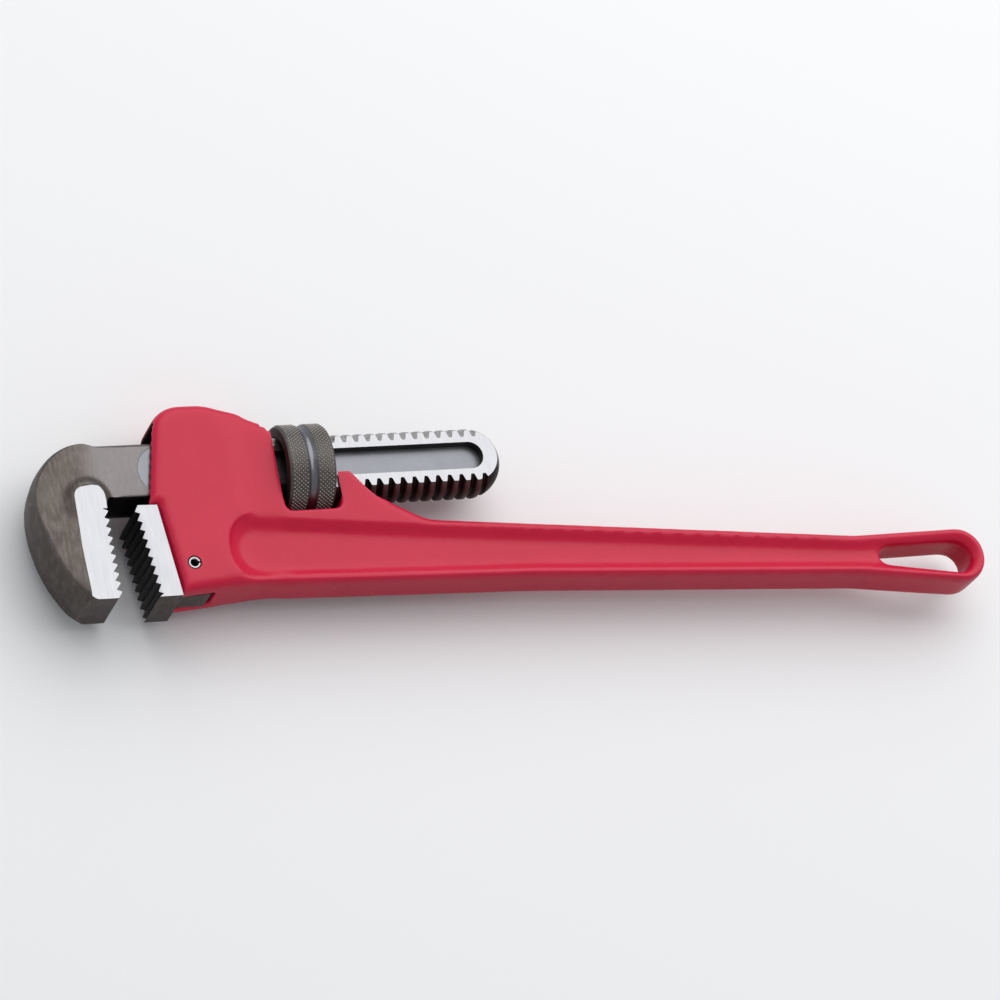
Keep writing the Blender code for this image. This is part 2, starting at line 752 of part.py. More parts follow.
def main():
    for obj in list(bpy.data.objects):
        bpy.data.objects.remove(obj)
    paint = material("crimson_enamel", (0.62, 0.012, 0.045), 0.35, 0.0)
    forged = material("forged_steel", (0.16, 0.14, 0.12), 0.45, 0.9)
    ground = material("ground_steel", (0.72, 0.72, 0.74), 0.3, 1.0)
    phosphate = material("phosphated_steel", (0.10, 0.10, 0.10), 0.55, 0.7)
    spring = material("spring_steel", (0.35, 0.35, 0.36), 0.35, 1.0)
    pieces = [
        (make_handle(), paint),
        (make_hook_jaw(), forged),
        (make_heel_jaw(), ground),
        (make_heel_jaw_pin(), ground),
        (make_adjusting_nut(), phosphate),
        (make_flat_spring(), spring),
        (make_spring_rivet(), spring),
        (make_coil_spring(), spring),
    ]
    for piece, surface in pieces:
        dress(piece, surface)
    lay_down([piece for piece, _ in pieces])


main()
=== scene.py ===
import math

import bmesh
import bpy
import numpy as np
from mathutils import Matrix, Vector, noise


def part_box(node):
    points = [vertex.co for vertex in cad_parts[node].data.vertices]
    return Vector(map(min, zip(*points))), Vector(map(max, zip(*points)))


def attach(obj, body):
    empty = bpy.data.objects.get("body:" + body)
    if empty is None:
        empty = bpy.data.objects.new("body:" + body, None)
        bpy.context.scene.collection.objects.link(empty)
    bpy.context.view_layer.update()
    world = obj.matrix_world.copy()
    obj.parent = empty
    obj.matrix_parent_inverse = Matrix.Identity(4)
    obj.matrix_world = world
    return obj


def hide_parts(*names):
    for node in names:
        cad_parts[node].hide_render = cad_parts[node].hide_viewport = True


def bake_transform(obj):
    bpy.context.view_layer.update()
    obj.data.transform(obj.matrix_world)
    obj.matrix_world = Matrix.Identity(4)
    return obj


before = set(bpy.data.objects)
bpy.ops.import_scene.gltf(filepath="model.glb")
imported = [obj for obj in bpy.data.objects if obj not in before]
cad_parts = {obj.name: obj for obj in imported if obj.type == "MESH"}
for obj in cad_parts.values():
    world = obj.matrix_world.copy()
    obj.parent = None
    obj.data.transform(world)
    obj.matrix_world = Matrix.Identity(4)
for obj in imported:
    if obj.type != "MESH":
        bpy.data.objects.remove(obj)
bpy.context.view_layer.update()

# ------------------------------------------------------------------ studio
# The wrench lies on its side on pale paper. One very large soft light hangs overhead, a little
# behind it, and a weak strip stands at its left, under pale walls. Ground faces turned up look
# nearly white and faces turned to the front stay dark.

nut_low, nut_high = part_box("adjusting_nut")
NUT_CENTRE = (nut_low + nut_high) / 2  # every size below is in mm from here
MM = 0.001


def linear(code):
    """Linear RGBA of an sRGB hex colour."""
    parts = [int(code[i : i + 2], 16) / 255 for i in (1, 3, 5)]
    return [p / 12.92 if p <= 0.04045 else ((p + 0.055) / 1.055) ** 2.4 for p in parts] + [1.0]


def add(tree, kind, inputs=None, **settings):
    """Adds one node with its settings; an input takes a value, or a socket to link from."""
    made = tree.nodes.new(kind)
    for name, value in settings.items():
        setattr(made, name, value)
    for key, value in (inputs or {}).items():
        if isinstance(value, bpy.types.NodeSocket):
            tree.links.new(value, made.inputs[key])
        else:
            made.inputs[key].default_value = value
    return made


def surface(name, **constants):
    """A new material: its node tree and its shader with the constants set on it."""
    made = bpy.data.materials.new(name)
    made.use_nodes = True
    shader = made.node_tree.nodes["Principled BSDF"]
    for key, value in constants.items():
        shader.inputs[key.replace("_", " ")].default_value = value
    return made, made.node_tree, shader


def stand(name, data):
    """A new object at the origin, unturned and unscaled."""
    obj = bpy.data.objects.new(name, data)
    bpy.context.scene.collection.objects.link(obj)
    return obj


# Matt paper: it looks almost white itself, but every other ray finds it a slightly darker grey, so the
# metal above it mirrors painted shade.
paper, tree, shader = surface("matt_paper", Roughness=0.9)
direct = add(tree, "ShaderNodeLightPath").outputs["Is Camera Ray"]
tone = {0: direct, 6: linear("#CFCFD1"), 7: linear("#F6F6F6")}
tone = add(tree, "ShaderNodeMix", tone, data_type="RGBA")
tree.links.new(tone.outputs[2], shader.inputs["Base Color"])
shader.inputs["Specular IOR Level"].default_value = 0.1

FLOOR_HALF = 6.0
mesh = bpy.data.meshes.new("paper_floor")
corners = [(-1, -1), (1, -1), (1, 1), (-1, 1)]
mesh.from_pydata([(x * FLOOR_HALF, y * FLOOR_HALF, 0) for x, y in corners], [], [(0, 1, 2, 3)])
mesh.materials.append(paper)
floor = stand("paper_floor", mesh)

world = bpy.data.worlds.new("studio_walls")
world.use_nodes = True
world.node_tree.nodes["Background"].inputs["Color"].default_value = linear("#E8EAEE")
world.node_tree.nodes["Background"].inputs["Strength"].default_value = 0.5
bpy.context.scene.world = world
bpy.context.scene.view_settings.view_transform = "Standard"

for name, place, size, power in (
    ("overhead_box", (0.55, 1.0, 1.65), (3.4, 2.8), 46.0),
    ("left_strip", (-2.2, 0.9, 0.9), (0.5, 1.6), 3.0),
):
    light = bpy.data.lights.new(name, "AREA")
    light.shape = "RECTANGLE"
    light.size, light.size_y = size
    light.energy = power
    lamp = stand(name, light)
    lamp.location = place
    lamp.rotation_euler = (Vector(place) - NUT_CENTRE).to_track_quat("Z", "Y").to_euler()

# The camera's turn is three rotations in radians, world to camera. Its offset is in mm from the
# nut, along the camera's own axes, and the nearness shortens it.
ROLL, TILT, SWING = 0.216, -0.374, 0.419
CAMERA_OFFSET = (201.42, -27.36, 3590.7)
CAMERA_NEARNESS = 0.434
turn = Matrix.Rotation(ROLL, 3, "Z") @ Matrix.Rotation(TILT, 3, "X") @ Matrix.Rotation(SWING, 3, "Y")
away = turn.transposed() @ Vector(CAMERA_OFFSET) * CAMERA_NEARNESS
camera = stand("camera", bpy.data.cameras.new("camera"))
camera.matrix_world = Matrix.Translation(NUT_CENTRE + away * MM) @ turn.transposed().to_4x4()
camera.data.sensor_width = 36.0
camera.data.lens = 129.27
camera.data.clip_end = 20.0
bpy.context.scene.camera = camera

# ------------------------------------------------------------------ handle and housing
# One iron casting: the housing that the hook slides in, an I-shaped handle and an eye to hang
# it by. It is sand cast, so every edge is soft, and dipped in crimson enamel.

CASTING_STEP = 0.9  # size of the quads in the casting's skin
HOUSING_T = 28.3
BEAM_T = 23.4
PIN = (-58.7, -44.9)
PIN_HOLE_R = 3.05
SLOT_HALF = 6.3
POCKET_FRONT_X = -47.0
BEAM_TOP = ((51.0, -28.8), (255.0, -48.6), (319.0, -48.2))
BEAM_LOW = ((95.0, -59.0), (255.0, -68.2), (319.0, -76.4))
EYE = (304.9, -62.3, 14.1)  # centre and outer radius
RAMP_X = (-37.0, -24.5)  # where the housing's side slopes down to the handle's
CHEEK_LIFT = 2.0  # how far the cheek behind the nut's window stands over the plain casting
CHEEK_Y = (-16.0, -7.0)
CHEEK_X = (38.0, 20.0)
WINDOW_REAR_X = 8.0
LOWER_BLEND = ((-48.0, -42.0), (-12.0, -20.0), -22.0)  # x in, x out and the y it stays under
UPPER_BLEND = ((-42.0, -34.0), (-15.0, -19.0), 14.0)  # x in, x out and the y it stays over
FLOOR_Y = -16.0
ROOF = (16.06, 0.0875)  # height over the nut's axis and slope of the passage's roof
PASSAGE_HALF = 10.7
FLANGE_EDGE = 2.2  # the outermost strip of the flange, which keeps its shape
BRIDGE_TIP = ((-17.5, 16.2), (-8.0, 16.2), (-8.0, 30.0), (-17.5, 30.0))  # cut clear over the nut


def per_mm(size):
    """Noise scale whose features are size mm across on Object coordinates."""
    return 1.0 / (size * MM)


def local(mesh):
    """The mesh's points as an array in mm from the nut's centre."""
    points = np.empty(len(mesh.vertices) * 3, np.float32)
    mesh.vertices.foreach_get("co", points)
    return (points.reshape(-1, 3).astype(float) - np.array(NUT_CENTRE)) / MM


def put(mesh, points):
    """Writes points in mm from the nut's centre back to the mesh."""
    mesh.vertices.foreach_set("co", (points * MM + np.array(NUT_CENTRE)).astype(np.float32).ravel())
    mesh.update()


def cast_skin(obj, step, name):
    """A new object: obj's outer skin in even quads of the given size (mm)."""
    skin = obj.modifiers.new("skin", "REMESH")
    skin.mode = "VOXEL"
    skin.voxel_size = step * MM
    graph = bpy.context.evaluated_depsgraph_get()
    mesh = bpy.data.meshes.new_from_object(obj.evaluated_get(graph))
    bpy.data.objects.remove(obj)
    mesh.materials.clear()
    mesh.name = name
    return stand(name, mesh)


def soften(mesh, passes, weight):
    """Rounds edges: each point moves by its weight towards the mean of its neighbours."""
    points = local(mesh)
    edges = np.empty(len(mesh.edges) * 2, np.int32)
    mesh.edges.foreach_get("vertices", edges)
    left, right = edges.reshape(-1, 2).T
    ends = np.concatenate([left, right])
    others = np.concatenate([right, left])
    degree = np.bincount(ends, minlength=len(points))
    for _ in range(passes):
        mean = [np.bincount(ends, points[others, i], len(points)) / degree for i in range(3)]
        points += (np.stack(mean, 1) - points) * weight[:, None]
    put(mesh, points)


def point_normals(mesh):
    """The direction that the skin faces at every point."""
    normals = np.empty(len(mesh.vertices) * 3, np.float32)
    mesh.vertices.foreach_get("normal", normals)
    return normals.reshape(-1, 3).astype(float)


def uneven(mesh, size, depth, seed):
    """Pushes the skin in by up to depth mm in soft lumps of size mm, as sand or a die leaves it."""
    points = local(mesh)
    shift = Vector((seed * 37.1, seed * 11.7, seed * 5.3))
    lumps = [noise.noise(Vector(p) / size + shift) for p in points]
    put(mesh, points + point_normals(mesh) * (np.array(lumps)[:, None] - 1.0) * depth / 2)


def mark_edges(mesh, passes):
    """Stores how far each point stands out from its surroundings, 0.5 on flat skin."""
    points = local(mesh)
    soften(mesh, passes, np.full(len(points), 0.5))
    proud = ((points - local(mesh)) * point_normals(mesh)).sum(1)
    put(mesh, points)
    store(mesh, "edge", 0.5 + proud)


def store(mesh, name, values):
    """Keeps a value from 0 to 1 on every point, for the material to read."""
    mark = mesh.attributes.new(name, "FLOAT", "POINT")
    mark.data.foreach_set("value", np.clip(values, 0, 1).astype(np.float32))


def ease(value):
    """Eases 0 to 1."""
    value = np.clip(value, 0, 1)
    return value * value * (3 - 2 * value)


def ramp(value, start, end):
    """Eases from 0 at start to 1 at end, in either direction."""
    return ease((value - start) / (end - start))


def bar(name, start, end, radius, steps=48):
    """A round bar between two points in mm."""
    shape = bmesh.new()
    start, end = Vector(start), Vector(end)
    axis = end - start
    turned = axis.to_track_quat("Z", "Y").to_matrix().to_4x4()
    place = Matrix.Translation((start + end) / 2) @ turned
    size = {"radius1": radius, "radius2": radius, "depth": axis.length, "segments": steps}
    bmesh.ops.create_cone(shape, cap_ends=True, matrix=place, **size)
    mesh = bpy.data.meshes.new(name)
    shape.to_mesh(mesh)
    shape.free()
    obj = stand(name, mesh)
    points = np.empty(len(mesh.vertices) * 3, np.float32)
    mesh.vertices.foreach_get("co", points)
    put(mesh, points.reshape(-1, 3).astype(float))
    return obj


def loft(name, rings, finish, loop=False):
    """A closed skin through rings of points (mm); loop joins the last ring to the first."""
    rings = np.array(rings, float)
    count, around = rings.shape[:2]
    mesh = bpy.data.meshes.new(name)
    faces = []
    for i in range(count if loop else count - 1):
        for k in range(around):
            j, m = (i + 1) % count, (k + 1) % around
            faces.append((i * around + k, i * around + m, j * around + m, j * around + k))
    if not loop:
        faces.append(tuple(range(around))[::-1])
        faces.append(tuple(range((count - 1) * around, count * around)))
    mesh.from_pydata((rings.reshape(-1, 3) * MM + np.array(NUT_CENTRE)).tolist(), [], faces)
    shape = bmesh.new()
    shape.from_mesh(mesh)
    bmesh.ops.remove_doubles(shape, verts=shape.verts, dist=1e-7)
    bmesh.ops.recalc_face_normals(shape, faces=shape.faces)
    shape.to_mesh(mesh)
    shape.free()
    mesh.materials.append(finish)
    return stand(name, mesh)


def plate(name, outline, low, high, finish):
    """A flat plate between two heights, to cut with or to keep."""
    return loft(name, [[(p[0], p[1], z) for p in outline] for z in (low, high)], finish)


def carve(obj, cutters):
    """Cuts every cutter out of obj at once; the new faces take their cutter's material."""
    group = bpy.data.collections.new("cutters")
    for cutter in cutters:
        group.objects.link(cutter)
    bpy.context.scene.collection.children.link(group)
    step = obj.modifiers.new("carve", "BOOLEAN")
    step.operation = "DIFFERENCE"
    step.solver = "EXACT"
    step.operand_type = "COLLECTION"
    step.collection = group
    step.material_mode = "TRANSFER"
    graph = bpy.context.evaluated_depsgraph_get()
    mesh = bpy.data.meshes.new_from_object(obj.evaluated_get(graph))
    mesh.name = obj.name
    obj.modifiers.clear()
    obj.data = mesh
    for cutter in cutters:
        bpy.data.objects.remove(cutter)
    bpy.data.collections.remove(group)


def merged(obj, others=()):
    """One mesh of obj and the others with its doubles merged; the others are removed."""
    shape = bmesh.new()
    for item in (obj, *others):
        shape.from_mesh(item.data)
    bmesh.ops.remove_doubles(shape, verts=shape.verts, dist=1e-6)
    mesh = bpy.data.meshes.new(obj.name + "_merged")
    shape.to_mesh(mesh)
    shape.free()
    for item in others:
        bpy.data.objects.remove(item)
    return mesh


def shade(obj, angle):
    """Smooth shading, but sharp beyond the angle and where two finishes meet."""
    mesh = obj.data
    mesh.shade_smooth()
    mesh.set_sharp_from_angle(angle=math.radians(angle))
    finishes = {}
    for face in mesh.polygons:
        for k in face.loop_indices:
            finishes.setdefault(mesh.loops[k].edge_index, set()).add(face.material_index)
    for k, found in finishes.items():
        if len(found) > 1:
            mesh.edges[k].use_edge_sharp = True


# Enamel on sand-cast iron: a thick glossy coat that is darker in the hollows, where it pools and
# where painted shade lies, and paler on the edges, where it thins and where a painted highlight
# lies, with a faint orange peel over the grain of the sand. The grain is drawn at 1.1 mm, coarser
# than real sand, so that it shows. Inside the passage the coat is mixed to near black.
enamel, tree, shader = surface("crimson_enamel_on_iron", IOR=1.4, Coat_Weight=0.08, Coat_Roughness=0.15)
spot = add(tree, "ShaderNodeTexCoord").outputs["Object"]
drift = add(tree, "ShaderNodeTexNoise", {"Vector": spot, "Scale": per_mm(26), "Detail": 3.0})
grain = add(tree, "ShaderNodeTexNoise", {"Vector": spot, "Scale": per_mm(1.1), "Detail": 4.0})
peel = add(tree, "ShaderNodeTexNoise", {"Vector": spot, "Scale": per_mm(3.2), "Detail": 2.0})
edge = add(tree, "ShaderNodeAttribute", attribute_name="edge")
coat = {0: drift.outputs["Fac"], 6: linear("#C40C34"), 7: linear("#D0123E")}
coat = add(tree, "ShaderNodeMix", coat, data_type="RGBA")
# Partly painted highlight: proud edges turn paler pink, for thinned enamel and for glare on the rims.
thin_edge_and_highlight = {"Value": edge.outputs["Fac"], "From Min": 0.54, "From Max": 0.85, "To Max": 0.55}
thin_edge_and_highlight = add(tree, "ShaderNodeMapRange", thin_edge_and_highlight)
coat = {0: thin_edge_and_highlight.outputs[0], 6: coat.outputs[2], 7: linear("#E2395C")}
coat = add(tree, "ShaderNodeMix", coat, data_type="RGBA")
# Partly painted shade: hollows turn darker, for pooled enamel and for the shade that falls in them.
pooled_and_shaded = {"Value": edge.outputs["Fac"], "From Min": 0.46, "From Max": 0.2, "To Max": 0.7}
pooled_and_shaded = add(tree, "ShaderNodeMapRange", pooled_and_shaded)
coat = {0: pooled_and_shaded.outputs[0], 6: coat.outputs[2], 7: linear("#AE0A26")}
coat = add(tree, "ShaderNodeMix", coat, data_type="RGBA")
bare = add(tree, "ShaderNodeAttribute", attribute_name="bare").outputs["Fac"]
coat = {0: bare, 6: coat.outputs[2], 7: linear("#1C1716")}
coat = add(tree, "ShaderNodeMix", coat, data_type="RGBA")
tree.links.new(coat.outputs[2], shader.inputs["Base Color"])
gloss = {"Value": grain.outputs["Fac"], "To Min": 0.26, "To Max": 0.44}
gloss = {0: bare, 2: add(tree, "ShaderNodeMapRange", gloss).outputs[0], 3: 0.75}
tree.links.new(add(tree, "ShaderNodeMix", gloss).outputs[0], shader.inputs["Roughness"])
bump = {"Height": peel.outputs["Fac"], "Distance": 0.00025, "Strength": 0.5}
bump = add(tree, "ShaderNodeBump", bump)
bump = {"Height": grain.outputs["Fac"], "Distance": 0.00006, "Strength": 0.6, "Normal": bump.outputs[0]}
tree.links.new(add(tree, "ShaderNodeBump", bump).outputs[0], shader.inputs["Normal"])

plugs = []
for side in (1, -1):
    plugs.append(bar("plug", (*PIN, side * SLOT_HALF), (*PIN, side * HOUSING_T / 2), PIN_HOLE_R + 0.3))
casting = cast_skin(stand("blank", merged(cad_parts["handle"], plugs)), CASTING_STEP, "handle_casting")
points = local(casting.data)
x, y, z = points.T
side = HOUSING_T / 2 + (BEAM_T - HOUSING_T) / 2 * ramp(x, *RAMP_X)
points[:, 2] = np.clip(z, -side, side)
points[:, 1] += CHEEK_LIFT * ramp(y, *CHEEK_Y) * ramp(x, *CHEEK_X) * (x > WINDOW_REAR_X)
put(casting.data, points)
depth = np.minimum(np.interp(x, *zip(*BEAM_TOP)) - y, y - np.interp(x, *zip(*BEAM_LOW)))
depth = np.where(x > EYE[0], np.minimum(depth, EYE[2] - np.hypot(x - EYE[0], y - EYE[1])), depth)
deep = np.clip((depth - FLANGE_EDGE) / 3.0, 0, 1) * np.clip((x - POCKET_FRONT_X) / 4, 0, 1)
blend = ramp(x, *LOWER_BLEND[0]) * ramp(x, *LOWER_BLEND[1]) * (y < LOWER_BLEND[2])
blend += ramp(x, *UPPER_BLEND[0]) * ramp(x, *UPPER_BLEND[1]) * (y > UPPER_BLEND[2])
soften(casting.data, 3, np.full(len(points), 0.5))
soften(casting.data, 12, 0.5 * deep)
soften(casting.data, 26, 0.5 * blend)
uneven(casting.data, size=17.0, depth=0.12, seed=1)
mark_edges(casting.data, passes=6)
# Inside the passage, and just beyond its walls, the coat is mixed to near black.
inside = np.minimum(PASSAGE_HALF + 0.5 - np.abs(z), ROOF[0] - ROOF[1] * x + 0.8 - y)
store(casting.data, "bare", np.minimum(inside, y - FLOOR_Y + 0.8) / 0.5)
casting.data.materials.append(enamel)
hole = bar("pin_hole", (*PIN, -20), (*PIN, 20), PIN_HOLE_R)
hole.data.materials.append(enamel)
carve(casting, [hole, plate("bridge_tip", BRIDGE_TIP, -10.9, 10.9, enamel)])
shade(casting, 50)
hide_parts("handle")
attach(casting, "frame")

# ------------------------------------------------------------------ springs
# Hidden under the housing's roof: a steel leaf riveted at its front whose tongue lies on the
# hook's back, and a short coil between that tongue and a seat in the roof. Both give as it rocks.

LEAF_PATH = (
    (-55.0, 22.27), (-50.0, 21.83), (-45.5, 21.44), (-42.5, 18.9), (-39.5, 15.9),
    (-33.0, 15.8), (-27.0, 15.8),
)
LEAF_T = 0.8
LEAF_HALF = 5.0
LEAF_EDGE = 0.2  # the chamfer along the strip's edges
RIVET_X = -50.0
RIVET_HOLE_R = 1.9
COIL_X = -34.5
COIL_R = 4.2
COIL_WIRE_R = 0.7
COIL_Y = (17.6, 24.4)
COIL_TURNS = 3.0
COIL_STEPS = 28  # points in each turn
COIL_CLOSED = 0.07  # how much closer the end turns lie


def smooth_line(points, steps):
    """Rows of a soft curve through all the points (Catmull-Rom), steps for each stretch."""
    rows = np.array(points, float)
    rows = np.vstack([2 * rows[0] - rows[1], rows, 2 * rows[-1] - rows[-2]])
    found = []
    for a, b, c, d in zip(rows, rows[1:], rows[2:], rows[3:]):
        for t in np.arange(steps) / steps:
            bend = (2 * a - 5 * b + 4 * c - d) * t * t + (3 * b - a - 3 * c + d) * t ** 3
            found.append(0.5 * (2 * b + (c - a) * t + bend))
    return np.array(found + [rows[-2]])


# Blued spring steel: a dark oil-blue temper film, satin and a little cloudy.
blued, tree, shader = surface("blued_spring_steel", Metallic=1.0)
spot = add(tree, "ShaderNodeTexCoord").outputs["Object"]
film = add(tree, "ShaderNodeTexNoise", {"Vector": spot, "Scale": per_mm(3.0), "Detail": 3.0})
tint = {0: film.outputs["Fac"], 6: linear("#4A4E58"), 7: linear("#7C7F86")}
tint = add(tree, "ShaderNodeMix", tint, data_type="RGBA")
tree.links.new(tint.outputs[2], shader.inputs["Base Color"])
gloss = {"Value": film.outputs["Fac"], "To Min": 0.25, "To Max": 0.45}
tree.links.new(add(tree, "ShaderNodeMapRange", gloss).outputs[0], shader.inputs["Roughness"])

line = smooth_line(LEAF_PATH, 6)
rings = []
for x, y in line:
    top, narrow = y + LEAF_T, LEAF_HALF - LEAF_EDGE
    ring = [(x, y, -narrow), (x, y, narrow), (x, y + LEAF_EDGE, LEAF_HALF)]
    ring += [(x, top - LEAF_EDGE, LEAF_HALF), (x, top, narrow), (x, top, -narrow)]
    ring += [(x, top - LEAF_EDGE, -LEAF_HALF), (x, y + LEAF_EDGE, -LEAF_HALF)]
    rings.append(ring)
leaf = loft("leaf_spring", rings, blued)
hole = bar("rivet_hole", (RIVET_X, 15, 0), (RIVET_X, 28, 0), RIVET_HOLE_R)
hole.data.materials.append(blued)
carve(leaf, [hole])
shade(leaf, 40)


def tube(name, line, radius, sides, finish):
    """A round wire along a line of points in mm."""
    line = np.array(line, float)
    spin = [2 * math.pi * k / sides for k in range(sides)]
    circle = [Vector((math.cos(a), math.sin(a), 0)) for a in spin]
    rings = []
    for place, along in zip(line, np.gradient(line, axis=0)):
        facing = Vector(along).normalized().to_track_quat("Z", "Y").to_matrix()
        rings.append([Vector(place) + facing @ point * radius for point in circle])
    return loft(name, rings, finish)


line = []
for k in range(int(COIL_TURNS * COIL_STEPS) + 1):
    share = k / int(COIL_TURNS * COIL_STEPS)
    angle = 2 * math.pi * COIL_TURNS * share
    risen = share - COIL_CLOSED * math.sin(2 * math.pi * share)
    height = COIL_Y[0] + (COIL_Y[1] - COIL_Y[0]) * risen
    line.append((COIL_X + COIL_R * math.cos(angle), height, COIL_R * math.sin(angle)))
coil = tube("coil_wire", line, COIL_WIRE_R, 10, blued)
shade(coil, 60)
for spring, node in ((leaf, "flat_spring"), (coil, "coil_spring")):
    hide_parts(node)
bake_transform(leaf)
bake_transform(coil)

# The rivet keeps its CAD shape and takes the same finish.
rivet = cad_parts["spring_rivet"]
for cell in rivet.material_slots:
    cell.material = blued

# ------------------------------------------------------------------ hook jaw
# One drop forging: a hooked head, whose tooth block is ground flat on both sides, and a long
# shank. The shank's two sides are milled flat and grooved, and all of it behind the neck carries
# a coarse round thread for the nut.

FORGING_STEP = 0.8  # size of the quads in the forging's skin
HEAD_HALF = 14.5
# Heights of the head's rings, from its side face to the middle.
HEAD_LEVELS = (14.5, 14.3, 13.9, 13.3, 12.4, 11.2, 10.2, 9.0, 7.5, 5.5, 3.0, 0.0)
FORGED_HALF = 10.2
CHEEK_HALF = 11.4  # half thickness of the head round the tooth block
CHEEK_EDGE = 6.5  # width of the soft step between them
SHANK_HALF = 9.8
THREAD_R = 15.5
THREAD_DEPTH = 2.2
THREAD_PITCH = 5.5
THREAD_FRONT_X = -24.0
THREAD_FORM = (0.6, 0.72)  # middle and swing of the profile: flat crests, narrower valleys
BALL_X = 77.5  # centre of the half-ball at the rear end
BALL_START = 8.0  # how far behind its centre the ball has run the thread out
HEAD_OUTER = (  # x, y and the radius that rounds the edge there
    (-84.0, 15.4, 6.0), (-97.0, 15.4, 6.5), (-104.5, 14.2, 7.0), (-110.5, 11.0, 7.0),
    (-115.5, 6.4, 6.5), (-119.3, 0.6, 5.5), (-121.8, -6.0, 4.5), (-122.9, -14.0, 3.4),
    (-122.4, -23.0, 2.4), (-120.6, -32.5, 1.8), (-117.3, -42.5, 1.6), (-113.4, -50.6, 2.2),
    (-110.6, -55.2, 3.0),
)
HEAD_DRAFT = 1.2  # how far the die's draft brings the outline in at the side face
TIP = (-107.5, -59.0)
TIP_BEVEL = 5.0
TOOTH_X = -92.0
TOOTH_TOP_Y = -17.0
THROAT_X = (-91.4, -89.4, -84.0)  # where the block's foot turns into the neck's underside
TOOTH_PITCH = 4.1
TOOTH_DEPTH = 2.1
TOOTH_COUNT = 10
TOOTH_RAKE = 0.28
PAD_HALF = 13.7
PAD = (  # x, y and the radius that rounds each corner of the ground tooth block
    (-104.8, -64.0, 0.5), (-87.0, -64.0, 0.5), (-87.0, -9.5, 3.0),
    (-97.0, -6.5, 5.5), (-105.4, -7.5, 5.0), (-105.9, -35.0, 8.0),
)
CREST = (-99.1, -12.5, 6.2)  # centre and radius of the tooth block's rounded top
FLAT_X = -63.1  # where the milling cutter stopped
FLAT_CUTTER_R = 11.8
GROOVE_X = (-52.0, 83.0)
GROOVE_HALF = 6.4
GROOVE_END_R = 6.3
GROOVE_DEPTH = 4.6
FLAT_SPLIT_X = 12.0  # the flats take the black finish in front of here, as painted shade, and are ground bright behind


def rounded(corners, steps=7):
    """Points of a polygon whose corners (x, y, radius) are filleted."""
    points = []
    for i, (x, y, radius) in enumerate(corners):
        here = Vector((x, y))
        before = (Vector(corners[i - 1][:2]) - here).normalized()
        after = (Vector(corners[(i + 1) % len(corners)][:2]) - here).normalized()
        half = before.angle(after) / 2
        centre = here + (before + after).normalized() * radius / math.sin(half)
        start = here + before * (radius / math.tan(half)) - centre
        sweep = start.angle_signed(here + after * (radius / math.tan(half)) - centre)
        for k in range(steps + 1):
            points.append(centre + Matrix.Rotation(-sweep * k / steps, 2) @ start)
    return points


def toothed(start, end):
    """A saw-toothed line from start to end with its valleys on the right-hand side."""
    start = Vector(start)
    along = (Vector(end) - start).normalized()
    right = Vector((along.y, -along.x))
    length = (Vector(end) - start).length
    points = []
    for k in range(TOOTH_COUNT):
        valley = length - (TOOTH_COUNT - k) * TOOTH_PITCH
        tip = valley + TOOTH_RAKE * TOOTH_PITCH
        points.append(start + along * (valley - 0.15) + right * TOOTH_DEPTH)
        points.append(start + along * (valley + 0.15) + right * TOOTH_DEPTH)
        points.append(start + along * (tip - 0.1) + right * 0.12)
        points.append(start + along * (tip + 0.25) + right * 0.12)
    points.append(start + along * length + right * TOOTH_DEPTH)
    return points


# Drop-forged alloy steel: brown-grey heat-treatment scale with a soft satin, blotched, and
# faintly streaked where the die dragged; edges are rubbed a little brighter. The neck's flat
# sides are mixed paler as a painted highlight, and its underside is mixed to black as painted
# shade. The scale's pits are drawn at 1.4 mm, coarser than real ones, so that they show.
forging, tree, shader = surface("forged_steel_scale", Metallic=0.85)
spot = add(tree, "ShaderNodeTexCoord").outputs["Object"]
blotch = {"Vector": spot, "Scale": per_mm(9), "Detail": 5.0, "Roughness": 0.6}
blotch = add(tree, "ShaderNodeTexNoise", blotch)
drag = add(tree, "ShaderNodeMapping", {"Vector": spot, "Scale": (5.0, 1.0, 1.0)})
drag = add(tree, "ShaderNodeTexNoise", {"Vector": drag.outputs[0], "Scale": per_mm(6), "Detail": 4.0})
pits = {"Vector": spot, "Scale": per_mm(1.4), "Detail": 6.0, "Roughness": 0.7}
pits = add(tree, "ShaderNodeTexNoise", pits)
edge = add(tree, "ShaderNodeAttribute", attribute_name="edge")
skin = {0: blotch.outputs["Fac"], 6: linear("#3E3733"), 7: linear("#6E6660")}
skin = add(tree, "ShaderNodeMix", skin, data_type="RGBA")
fade = {"Value": drag.outputs["Fac"], "From Min": 0.45, "From Max": 0.75, "To Max": 0.3}
skin = {0: add(tree, "ShaderNodeMapRange", fade).outputs[0], 6: skin.outputs[2], 7: linear("#8E8781")}
skin = add(tree, "ShaderNodeMix", skin, data_type="RGBA")
rub = {"Value": edge.outputs["Fac"], "From Min": 0.55, "From Max": 0.9, "To Max": 0.6}
skin = {0: add(tree, "ShaderNodeMapRange", rub).outputs[0], 6: skin.outputs[2], 7: linear("#A09A96")}
skin = add(tree, "ShaderNodeMix", skin, data_type="RGBA")
# Painted highlight: the neck's flat sides are mixed paler, standing for the light they reflect.
wiped = add(tree, "ShaderNodeAttribute", attribute_name="wiped").outputs["Fac"]
skin = add(tree, "ShaderNodeMix", {0: wiped, 6: skin.outputs[2], 7: linear("#8E8A8B")}, data_type="RGBA")
